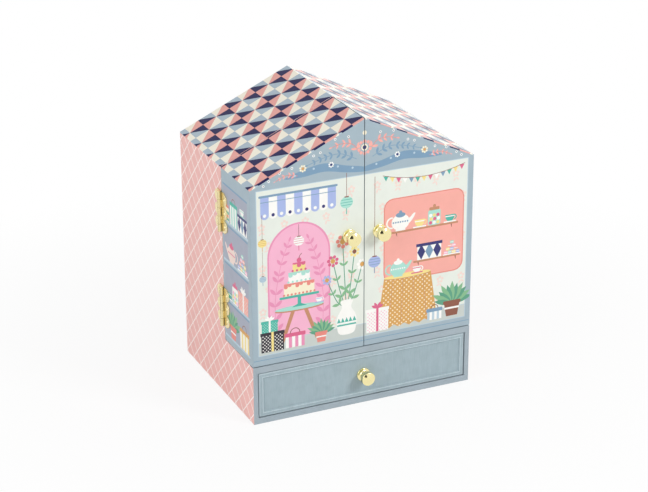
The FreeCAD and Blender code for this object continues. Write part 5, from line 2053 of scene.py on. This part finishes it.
@dataclass
class Drawer:
    """The drawer: a framed linen front and a lined paper tray."""

    frame: float = 4.0
    recess: float = 1.0
    edge: float = 0.4
    reach: float = 1.0
    # Rings of the mould whose faces get the paler linen, a painted highlight: the outer chamfer and the bead.
    rubbed: tuple[int, ...] = (2, 5, 6)

    def build(self) -> None:
        """Builds the front and the tray."""
        self.build_front()
        self.build_tray()

    def build_front(self) -> None:
        """Builds the front: a moulded frame round a sunk panel under one linen, with paler linen painted on
        the chamfer and bead as a highlight.
        """
        low, high = node_box("drawer_front")
        inner, sunk = self.frame, self.recess
        mould = ((0.0, high.y - low.y), (0.0, 1.0), (0.2, 0.6), (0.95, 0.3), (inner - 1.7, 0.3),
                 (inner - 1.4, 0.06), (inner - 0.9, 0.0), (inner - 0.6, 0.15), (inner - 0.2, sunk),
                 (inner + 0.15, sunk + 0.15), (inner + 0.5, sunk))
        rings = []
        for inset, depth in mould:
            left, right, foot, top = low.x + inset, high.x - inset, low.z + inset, high.z - inset
            rings.append([Plane.XZ.spot(corner, low.y + depth)
                          for corner in ((left, foot), (right, foot), (right, top), (left, top))])
        bm = bmesh.new()
        # Faces of the highlight rings take the second, paler linen: a painted highlight.
        for index, face in enumerate(loft(bm, rings)):
            face.material_index = 1 if index // 4 in self.rubbed else 0
        settle(solid("drawer_front_framed", bm), "drawer", ["drawer_front"],
               [DRAWER_LINEN, HIGHLIGHT_PAINTED_LINEN])

    def build_tray(self) -> None:
        """Builds the tray behind the front, lined inside."""
        low, side_high = node_box("drawer_left_side")
        right = node_box("drawer_right_side")[1].x
        back_low, back_high = node_box("drawer_back")
        floor = node_box("drawer_bottom")[1].z
        tray = box("drawer_tray", low, (right, back_high.y, side_high.z))
        carve(tray, [box("tray_room", (side_high.x, low.y - self.reach, floor),
                         (-side_high.x, back_low.y, side_high.z + self.reach))])
        with editing(tray) as bm:
            layer = bm.loops.layers.uv.new(PAPER_UV)
            for face in bm.faces:
                middle = middle_of(face)
                across = abs(middle.x) < right - NEAR and middle.y < back_high.y - NEAR
                face.material_index = 1 if across and middle.z > low.z + NEAR else 0
                for loop in face.loops:
                    loop[layer].uv = flat_lie(face, loop.vert.co / MM)
        nodes = ["drawer_left_side", "drawer_right_side", "drawer_back", "drawer_bottom"]
        settle(tray, "drawer", nodes, [GREY_BLUE_PAPER, LINING_PAPER], self.edge)


@dataclass
class Mirror:
    """The arched mirror on the back wall, with a bevelled edge and a beaded border."""

    bevel: float = 0.8
    bead: float = 0.75
    bead_depth: float = 0.2

    def build(self) -> None:
        """Builds the plate and its border."""
        low, high = node_box("mirror")
        plate = placed("mirror_plate", cad_bmesh(["mirror"]))
        soften(plate, self.bevel, segments=1)
        settle(plate, "case", ["mirror"], [SILVERED_GLASS])
        radius, foot = high.x - self.bead, low.z + self.bead
        outline = [(-radius, foot), (radius, foot)] + arc((0, high.z - high.x), radius, 0, 180, 48)
        spots = [Plane.XZ.spot(point, low.y + self.bead_depth) for point in outline]
        string_beads("mirror_beading", spots, self.bead, 2 * self.bead, "case")


@dataclass
class Stage:
    """The turntable: an enamelled disc with a groove that holds a ring of gilt beads."""

    bead: float = 0.45
    bead_pitch: float = 2.4
    groove: float = 0.45
    segments: int = 72

    def build(self) -> None:
        """Turns the disc and sets its beads."""
        low, high = node_box("stage_disc")
        radius = (high.x - low.x) / 2
        middle = (low + high) / 2
        thick = high.z - low.z
        groove = thick - self.groove
        profile = [(0, 0), (radius - 0.6, 0), (radius - 0.15, 0.25), (radius, 0.7), (radius, thick - 0.7),
                   (radius - 0.3, thick - 0.2), (radius - 0.9, thick - 0.12), (radius - 1.3, groove),
                   (radius - 2.3, groove), (radius - 2.7, thick - 0.02), (radius * 0.5, thick), (0, thick)]
        place = Matrix.Translation((middle.x, middle.y, low.z))
        disc = lathe("stage_turntable", profile, place, self.segments)
        settle(disc, "dancer", ["stage_disc"], [STAGE_ENAMEL])
        ring = [Plane.XY.spot(point, high.z - self.groove)
                for point in circle((middle.x, middle.y), radius - 1.8, self.segments)]
        string_beads("stage_beading", ring, self.bead, self.bead_pitch * self.bead, "dancer")


@dataclass
class Dancer:
    """The dancer: a moulded figure on the points of both feet, arms rounded overhead.

    Each part is added to one bmesh, in millimetres, about an upright axis through the origin.
    """

    hips: float = 74.3
    shoulders: float = 86.6
    head: float = 93.4
    head_radii: Spot = (2.75, 2.95, 3.5)
    step: float = 0.35
    sharp: float = 50.0
    forward: Spot = (0.0, 1.0, 0.0)
    bm: BMesh = field(init=False)

    @property
    def toes(self) -> float:
        """The height of the points that it stands on."""
        return node_box("ballerina_figure")[0].z

    def build(self) -> None:
        """Builds each painted part of the figure."""
        stage_low, stage_high = node_box("stage_disc")
        axis = (stage_low.y + stage_high.y) / 2
        parts = (("skin", self.skin, SKIN_PLASTIC), ("tights", self.tights, TIGHTS_PAINT),
                 ("shoes", self.shoes, SATIN_PAINT), ("bodice", self.bodice, BODICE_PAINT),
                 ("hair", self.hair, HAIR_PAINT), ("eyes", self.eyes, LASH_PAINT),
                 ("mouth", self.mouth, LIP_PAINT), ("trim", self.trim, GILT))
        for name, add, finish in parts:
            self.bm = bmesh.new()
            add()
            bmesh.ops.translate(self.bm, vec=(0, axis, 0), verts=self.bm.verts)
            part = shade(solid(f"dancer_{name}", self.bm), self.sharp)
            nodes = ["ballerina_figure"] if name == "skin" else []
            settle(part, "dancer", nodes, [finish])

    def limb(self, stations: Sequence[Sequence[float]], facets: int = 16, steps: int = 5,
             across: Spot = (1.0, 0.0, 0.0)) -> None:
        """Adds a rounded limb.

        Args:
            stations: Three coordinates and two half-widths, along and across a direction, down the limb.
            facets: The number of facets round it.
            steps: How many rings there are between two stations.
            across: The direction of the first half-width, well away from the limb's own.
        """
        curve = smooth(stations, steps, closed=False)
        rings = []
        for index, station in enumerate(curve):
            before, after = curve[max(index - 1, 0)], curve[min(index + 1, len(curve) - 1)]
            along = (Vector(after[:3]) - Vector(before[:3])).normalized()
            second = along.cross(Vector(across)).normalized()
            first = second.cross(along).normalized()
            rings.append([Vector(station[:3]) + first * station[3] * x + second * station[4] * y
                          for x, y in circle((0, 0), 1.0, facets)])
        loft(self.bm, rings)

    def limbs(self, stations: Sequence[Sequence[float]], level: float, step: float = 0.0,
              **shape: object) -> None:
        """Adds two limbs that mirror one another.

        Args:
            stations: The stations of one of them.
            level: The level that their heights are measured from.
            step: How far that limb stands back and the other one forward.
            shape: What else limb is told.
        """
        for sign in (-1, 1):
            places = [(x * sign, y + step * sign, level + z, *halves) for x, y, z, *halves in stations]
            self.limb(places, **shape)

    def ball(self, middle: Spot, radii: Spot, facets: int = 20, rings: int = 0) -> list[bmesh.types.BMVert]:
        """Adds an ellipsoid.

        Args:
            middle: Its middle.
            radii: Its three radii.
            facets: The number of facets round it.
            rings: The number of its rings, or 0 for two more than half the facets.

        Returns:
            Its vertices.
        """
        place = Matrix.Translation(middle) @ Matrix.Diagonal((*radii, 1.0))
        return bmesh.ops.create_uvsphere(self.bm, u_segments=facets, v_segments=rings or facets // 2 + 2,
                                         radius=1.0, matrix=place)["verts"]

    def skin(self) -> None:
        """Adds the chest, neck, head, nose, ears and arms."""
        top = self.shoulders
        self.limb([(0, 0, top - 4.4, 3.0, 2.0), (0, 0, top - 1.8, 3.2, 2.1), (0, 0, top, 3.3, 1.7),
                   (0, 0.1, top + 1.1, 1.9, 1.3), (0, 0.1, top + 1.9, 1.1, 1.05),
                   (0, 0, top + 4.6, 1.0, 1.0)], 24)
        self.ball((0, 0, self.head), self.head_radii, 28)
        self.ball((0, -2.75, self.head - 0.7), (0.34, 0.45, 0.42), 12)
        for sign in (-1, 1):
            self.ball((2.72 * sign, 0.25, self.head - 0.5), (0.3, 0.5, 0.75), 12)
        arm = ((2.6, 0, -0.5, 0.9, 0.9), (4.4, -0.2, 0.5, 1.0, 1.0), (6.9, -0.8, 3.4, 0.85, 0.85),
               (8.3, -1.2, 7.2, 0.75, 0.75), (7.7, -1.6, 10.6, 0.7, 0.7), (5.2, -1.9, 13.3, 0.52, 0.52),
               (3.2, -2.0, 14.2, 0.62, 0.4), (1.5, -2.0, 14.4, 0.4, 0.26), (0.6, -2.0, 14.3, 0.12, 0.1))
        self.limbs(arm, top, across=self.forward)

    def tights(self) -> None:
        """Adds two legs, one just before the other."""
        leg = ((0.95, 0, 4, 0.75, 0.85), (1.0, 0.1, 6.5, 0.85, 0.95), (1.25, 0.45, 11, 1.25, 1.5),
               (1.2, 0, 15.4, 1.15, 1.25), (1.5, 0, 21, 1.55, 1.7))
        for sign in (-1, 1):
            stations = [(x * sign, y + self.step * sign, self.toes + z, *halves) for x, y, z, *halves in leg]
            self.limb(stations + [(1.35 * sign, 0.05, self.hips + 0.4, 1.5, 1.7)])

    def shoes(self) -> None:
        """Adds satin shoes with blocked toes, and ribbons round the ankles."""
        shoe = ((0.75, -0.1, 0, 0.62, 0.62), (0.8, -0.1, 0.8, 0.8, 0.85), (0.9, -0.05, 2.6, 0.92, 1.15),
                (0.95, 0.15, 4.4, 0.92, 1.1), (0.97, 0.2, 5, 0.85, 1.0))
        self.limbs(shoe, self.toes, self.step)
        for up in (6.1, 6.9, 8.4):
            ribbon = ((1.0, 0.12, up, 0.96, 1.07), (1.0, 0.15, up + 0.32, 0.97, 1.09))
            self.limbs(ribbon, self.toes, self.step, steps=1)

    def bodice(self) -> None:
        """Adds a fitted bodice with two straps, and briefs under the skirt."""
        hips, top = self.hips, self.shoulders
        self.limb([(0, 0, hips - 1.6, 1.2, 1.2), (0, 0, hips - 0.6, 3.1, 2.3), (0, 0, hips + 1.6, 3.2, 2.4),
                   (0, 0, hips + 4.4, 2.35, 1.9), (0, 0, hips + 7.6, 2.9, 2.25),
                   (0, -0.15, top - 2.8, 3.35, 2.5), (0, 0, top - 1.9, 3.3, 2.2)], 28)
        strap = ((2.0, -2.0, -2.4), (2.25, -1.4, -0.2), (2.2, 0, 0.62), (2.1, 1.5, -0.4), (2.0, 1.9, -2.4))
        self.limbs([(*spot, 0.32, 0.12) for spot in strap], top, facets=10)

    def hair(self) -> None:
        """Adds hair drawn back from the brow to a bun."""
        cap = self.ball((0, 0.28, self.head + 0.3), (2.86, 3.0, 3.5), 32, 20)
        parts = {part for vert in cap for part in (*vert.link_faces, *vert.link_edges)}
        cut = bmesh.ops.bisect_plane(self.bm, geom=[*cap, *parts], plane_co=(0, -0.75, self.head + 0.55),
                                     plane_no=Vector((0, -0.86, -0.5)).normalized(), clear_outer=True)
        brow = [part for part in cut["geom_cut"] if isinstance(part, bmesh.types.BMEdge)]
        bmesh.ops.holes_fill(self.bm, edges=brow)
        self.ball((0, 2.0, self.head + 3.2), (1.75, 1.7, 1.6))
        self.limb([(0, 1.45, self.head + 2.5, 1.5, 1.5), (0, 1.65, self.head + 2.85, 1.62, 1.62)], 20, 1)

    def face_line(self, points: Sequence[Point], proud: float, thick: float, tall: float) -> None:
        """Adds a fine painted line on the front of the head.

        Args:
            points: The points that it passes through, across the head and up from its middle.
            proud: How far its middle stands out of the skin.
            thick: Half its thickness.
            tall: Half its height.
        """
        wide, deep, high = self.head_radii
        line = []
        for x, z in points:
            share = 1 - (x / wide) ** 2 - (z / high) ** 2
            line.append((x, -deep * math.sqrt(max(share, 0)) - proud, self.head + z, thick, tall))
        self.limb(line, 8, 4, self.forward)

    def eyes(self) -> None:
        """Adds lowered lids with lashes, and brows."""
        lid = ((0.55, -0.1), (0.85, -0.32), (1.2, -0.36), (1.6, -0.12))
        brow = ((0.5, 0.75), (1.05, 0.98), (1.7, 0.7))
        for sign in (-1, 1):
            for points, proud, half in ((lid, 0.02, 0.1), (brow, 0.0, 0.07)):
                self.face_line([(x * sign, z) for x, z in points], proud, half, half)

    def mouth(self) -> None:
        """Adds a small smile."""
        self.face_line(((-0.62, -1.62), (-0.25, -1.8), (0.25, -1.8), (0.62, -1.62)), 0.02, 0.13, 0.16)

    def trim(self) -> None:
        """Adds a waistband, a small coronet and a stud at the neckline."""
        self.limb([(0, 0, self.hips + 2.0, 3.12, 2.36), (0, 0, self.hips + 2.5, 2.98, 2.28)], 28, 1)
        for index in range(-4, 5):
            sine, cosine = math.sin(math.radians(18 * index)), math.cos(math.radians(18 * index))
            x, y, z = 2.5 * sine, 0.1 - 1.55 * cosine, self.head + 2.5 + 0.28 * cosine
            self.ball((x, y, z), (0.24, 0.24, 0.24), 10)
            self.ball((x, y + 0.12, z + 0.45), (0.14, 0.14, 0.42 - 0.05 * abs(index)), 8)
        self.ball((0, -2.42, self.shoulders - 2.7), (0.32, 0.2, 0.32), 10)


@dataclass
class Tutu:
    """The skirt: three gathered layers of tulle, each a strip pleated about the waist.

    Sizes that end in _more are what a layer adds to the one above it, or what the lowest adds to the top one.
    """

    layers: int = 3
    waist: float = 2.6
    hem_gap: float = 0.15
    shorter: float = 0.09
    top_gap: float = 0.25
    top_gap_more: float = 0.55
    drop: float = 0.9
    drop_more: float = 0.75
    wave: float = 0.75
    pleats: int = 26
    pleats_more: int = 5
    turn_more: float = 0.35
    cells_around: int = 312
    cells_out: int = 14
    wave_power: float = 0.8
    drop_power: float = 1.6
    seam: float = 0.001

    def build(self) -> None:
        low, high = node_box("tutu")
        radius = (high.x - low.x) / 2 - self.hem_gap
        tree = self.pleat_tree()
        for layer in range(self.layers):
            share = layer / (self.layers - 1)
            reach = radius * (1.0 - self.shorter * share)
            skirt = grow(
                self.strip(f"tutu_layer_{layer + 1}"), tree, TULLE, Inner=self.waist * MM, Outer=reach * MM,
                Top=(high.z - self.top_gap - self.top_gap_more * share) * MM,
                Drop=(self.drop + self.drop_more * share) * MM, Wave=self.wave * MM,
                Pleats=float(self.pleats + self.pleats_more * layer), Turn=self.turn_more * layer,
            )
            with editing(skirt) as bm:
                bmesh.ops.remove_doubles(bm, verts=bm.verts, dist=self.seam * MM)
                area = sum(face.calc_area() for face in bm.faces)
            settle(skirt, "dancer", ["tutu"] if layer == 0 else [])

    def strip(self, name: str) -> Object:
        """A flat strip of cells, a metre long round the waist and a metre wide from waist to hem.

        Args:
            name: The object's name.

        Returns:
            The strip.
        """
        bm = bmesh.new()
        rows = [[bm.verts.new((column / self.cells_around / MM, row / self.cells_out / MM, 0))
                 for column in range(self.cells_around + 1)] for row in range(self.cells_out + 1)]
        for low, high in zip(rows, rows[1:]):
            for column in range(self.cells_around):
                bm.faces.new((low[column], low[column + 1], high[column + 1], high[column]))
        return solid(name, bm)

    def pleat_tree(self) -> Tree:
        """A tree that turns the strip round the waist and waves it more towards the hem.

        Returns:
            The tree.
        """
        names = ("Inner", "Outer", "Top", "Drop", "Wave", "Pleats", "Turn")
        tree, given = node_group("pleated_skirt", **{name: "Float" for name in names})
        around_waist, to_hem, _ = add_node(tree, "SeparateXYZ", add_node(tree, "InputPosition")).node.outputs
        angle = add_node(tree, "Math", around_waist, math.tau, operation="MULTIPLY")
        radius = add_node(tree, "MapRange", {
            "Value": to_hem, "To Min": given["Inner"], "To Max": given["Outer"],
        })
        phase = add_node(tree, "Math", angle, given["Pleats"], given["Turn"], operation="MULTIPLY_ADD")
        ripple = add_node(tree, "Math", phase, operation="SINE")
        swell = add_node(tree, "Math", ripple, given["Wave"], operation="MULTIPLY")
        share = add_node(tree, "Math", to_hem, self.wave_power, operation="POWER")
        lift = add_node(tree, "Math", swell, share, operation="MULTIPLY")
        bend = add_node(tree, "Math", to_hem, self.drop_power, operation="POWER")
        fall = add_node(tree, "Math", bend, given["Drop"], operation="MULTIPLY")
        level = add_node(tree, "Math", given["Top"], fall, operation="SUBTRACT")
        lowered = add_node(tree, "Math", level, given["Wave"], operation="SUBTRACT")
        height = add_node(tree, "Math", lowered, lift, operation="ADD")
        flat = add_node(tree, "CombineXYZ", {0: radius, 2: height})
        turned = add_node(tree, "VectorRotate", {"Vector": flat, "Angle": angle}, rotation_type="Z_AXIS")
        stage_low, stage_high = node_box("stage_disc")
        axis = (stage_low + stage_high) / 2 * MM
        moved = add_node(tree, "VectorMath", turned, (axis.x, axis.y, 0.0), operation="ADD")
        shape = add_node(tree, "SetPosition", {"Geometry": given["Geometry"], "Position": moved})
        end_group(tree, shape, given["Material"])
        return tree


@dataclass
class Studio:
    """Camera, floor and light."""

    camera_spot: Spot = (-530.4, -1177.0, 629.8)
    azimuth: float = -24.23
    elevation: float = 22.45
    roll: float = 0.28
    lens: float = 106.43
    clip_end: float = 20000.0
    floor_size: float = 8000.0
    floor_top: float = -0.02
    floor_under: float = -2.0
    shadow_reach: float = 420.0
    shadow_white: float = 0.86
    surround: float = 0.5
    aim: Spot = (0.0, 0.0, 100.0)
    lamps: tuple[tuple[str, Spot, float, float], ...] = (
        ("key", (840, -1220, 1020), 480, 12.6),
        ("fill", (-1300, -500, 800), 1100, 9.0),
        ("rim", (1000, 1500, 420), 900, 3.2),
    )
    flags: tuple[tuple[str, Spot, Spot], ...] = (
        ("front_flag", (-660, -1504, 120), (0, -1500, 720)),
        ("left_flag", (-480, 0, 0), (-215, 80, 2)),
    )

    def build(self) -> None:
        """Sets up the view and the light."""
        self.place_camera()
        self.place_floor()
        self.place_flags()
        for name, spot, size, power in self.lamps:
            self.place_lamp(name, spot, size, power)
        self.light_surround()
        bpy.context.scene.view_settings.view_transform = "Standard"

    def place_camera(self) -> None:
        """Puts the camera where the photographer's stood."""
        data = bpy.data.cameras.new("camera")
        data.lens = self.lens
        data.clip_end = self.clip_end * MM
        camera = bpy.data.objects.new("camera", data)
        turn, lift = math.radians(self.azimuth), math.radians(self.elevation)
        back = Vector((math.sin(turn) * math.cos(lift), -math.cos(turn) * math.cos(lift), math.sin(lift)))
        tilt = Matrix.Rotation(-math.radians(self.roll), 4, back)
        right = tilt @ Vector((math.cos(turn), math.sin(turn), 0))
        frame = Matrix((right, back.cross(right), back)).transposed().to_4x4()
        camera.matrix_world = Matrix.Translation(Vector(self.camera_spot) * MM) @ frame
        bpy.context.scene.collection.objects.link(camera)
        bpy.context.scene.camera = camera

    def place_floor(self) -> None:
        """Lays a wide white floor that keeps part of the shadow and is white to the camera elsewhere."""
        half = self.floor_size / 2
        floor = box("floor", (-half, -half, self.floor_under), (half, half, self.floor_top))
        material = bpy.data.materials.new("white_studio_floor")
        tree = emptied(material)
        ray = add_node(tree, "LightPath").node.outputs
        seen = add_node(tree, "Math", ray["Is Camera Ray"], ray["Is Glossy Ray"], operation="MAXIMUM")
        near = add_node(tree, "Mapping", {
            "Vector": add_node(tree, "TexCoord").node.outputs["Object"],
            "Scale": [1 / (self.shadow_reach * MM)] * 3,
        })
        close = add_node(tree, "TexGradient", {"Vector": near}, gradient_type="SPHERICAL").node.outputs["Fac"]
        whiteness = add_node(tree, "MapRange", {
            "Value": close, "From Max": 0.7, "To Min": 1.0, "To Max": self.shadow_white,
        })
        share = add_node(tree, "Math", seen, whiteness, operation="MULTIPLY")
        paint = add_node(tree, "BsdfDiffuse", {"Color": (0.9, 0.9, 0.9, 1.0)})
        white = add_node(tree, "Emission", {"Color": WHITE, "Strength": 1.0})
        add_node(tree, "OutputMaterial", {"Surface": add_node(tree, "MixShader", share, paint, white)})
        floor.data.materials.append(material)

    def place_flags(self) -> None:
        """Sets black cards, in front and on the left, that show only as dark streaks in polished metal."""
        material = bpy.data.materials.new("black_velvet_card")
        tree = emptied(material)
        velvet = add_node(tree, "BsdfPrincipled", {"Base Color": (0.01, 0.01, 0.01, 1.0)})
        add_node(tree, "OutputMaterial", {"Surface": velvet})
        for name, low, high in self.flags:
            card = box(name, low, high)
            card.data.materials.append(material)
            card.visible_camera = False
            card.visible_diffuse = False
            card.visible_shadow = False

    def place_lamp(self, name: str, spot: Spot, size: float, power: float) -> None:
        """Hangs a square lamp that faces the middle of the box.

        Args:
            name: The lamp's name.
            spot: Where it hangs.
            size: The length of its side.
            power: Its power in watts.
        """
        data = bpy.data.lights.new(name, "AREA")
        data.size = size * MM
        data.energy = power
        lamp = bpy.data.objects.new(name, data)
        place = Vector(spot) * MM
        turn = (Vector(self.aim) * MM - place).to_track_quat("-Z", "Y")
        lamp.matrix_world = Matrix.Translation(place) @ turn.to_matrix().to_4x4()
        bpy.context.scene.collection.objects.link(lamp)

    def light_surround(self) -> None:
        """Surrounds the box with soft light that is white to the camera and in reflections."""
        world = bpy.data.worlds.new("white_surround")
        bpy.context.scene.world = world
        tree = emptied(world)
        ray = add_node(tree, "LightPath").node.outputs
        clear = add_node(tree, "Math", ray["Is Glossy Ray"], ray["Is Transmission Ray"], operation="MAXIMUM")
        seen = add_node(tree, "Math", ray["Is Camera Ray"], clear, operation="MAXIMUM")
        lighting, backdrop = (add_node(tree, "Background", {"Color": WHITE, "Strength": strength})
                              for strength in (self.surround, 1.0))
        add_node(tree, "OutputWorld", {"Surface": add_node(tree, "MixShader", seen, lighting, backdrop)})


def dress_cad_nodes() -> None:
    """Gives each CAD node that still shows the finish of what it is made of."""
    finishes = {
        MOVEMENT_BRASS: ("movement_frame", "spring_barrel", "music_cylinder"),
        ZINC_STEEL: ("comb", "movement_screws", "mainspring", "cylinder_arbor", "winding_arbor",
                     "dancer_spindle", "stop_wire"),
        MOULDED_NYLON: ("governor_fly",),
    }
    for finish, nodes in finishes.items():
        for node in nodes:
            dress(bpy.data.objects[node], [finish])


FITTINGS = (
    RoundedFitting("winding_key_polished", ("winding_key",), "winder", "movement_brass", POLISHED_BRASS,
                   0.25),
    RoundedFitting("brass_bushes_turned", ("brass_bushes",), "case", "movement_brass", MOVEMENT_BRASS),
    RoundedFitting("deck_magnets_plated", ("deck_magnets",), "case", "magnet_nickel", NICKEL, 0.2),
    *(RoundedFitting(f"{side.word}_door_magnet_plated", (f"{side.word}_door_magnet",), f"{side.word}_door",
                     "magnet_nickel", NICKEL, 0.2) for side in Side),
    *(RoundedFitting(f"{side.word}_knob_screw_turned", (f"{side.word}_door_knob_screw",), f"{side.word}_door",
                     "steel", ZINC_STEEL, 0.1) for side in Side),
    RoundedFitting("drawer_knob_screw_turned", ("drawer_knob_screw",), "drawer", "steel", ZINC_STEEL, 0.1),
)


def main() -> None:
    """Builds the box piece by piece, then the studio round it."""
    logging.basicConfig(level=logging.INFO, format="%(name)s: %(message)s")
    bpy.ops.wm.read_factory_settings(use_empty=True)
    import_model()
    sizes = BoxSizes.from_frame()
    dress_cad_nodes()
    Case(sizes).build()
    for side in Side:
        Door(sizes, side).build()
        DoorPrint(sizes, side).build()
        Knob(f"{side.word}_door_knob", f"{side.word}_door").build()
    Hinges().build()
    Drawer().build()
    Knob("drawer_knob", "drawer").build()
    Mirror().build()
    Stage().build()
    Dancer().build()
    Tutu().build()
    for fitting in FITTINGS:
        fitting.build()
    Studio().build()


if __name__ == "__main__":
    main()
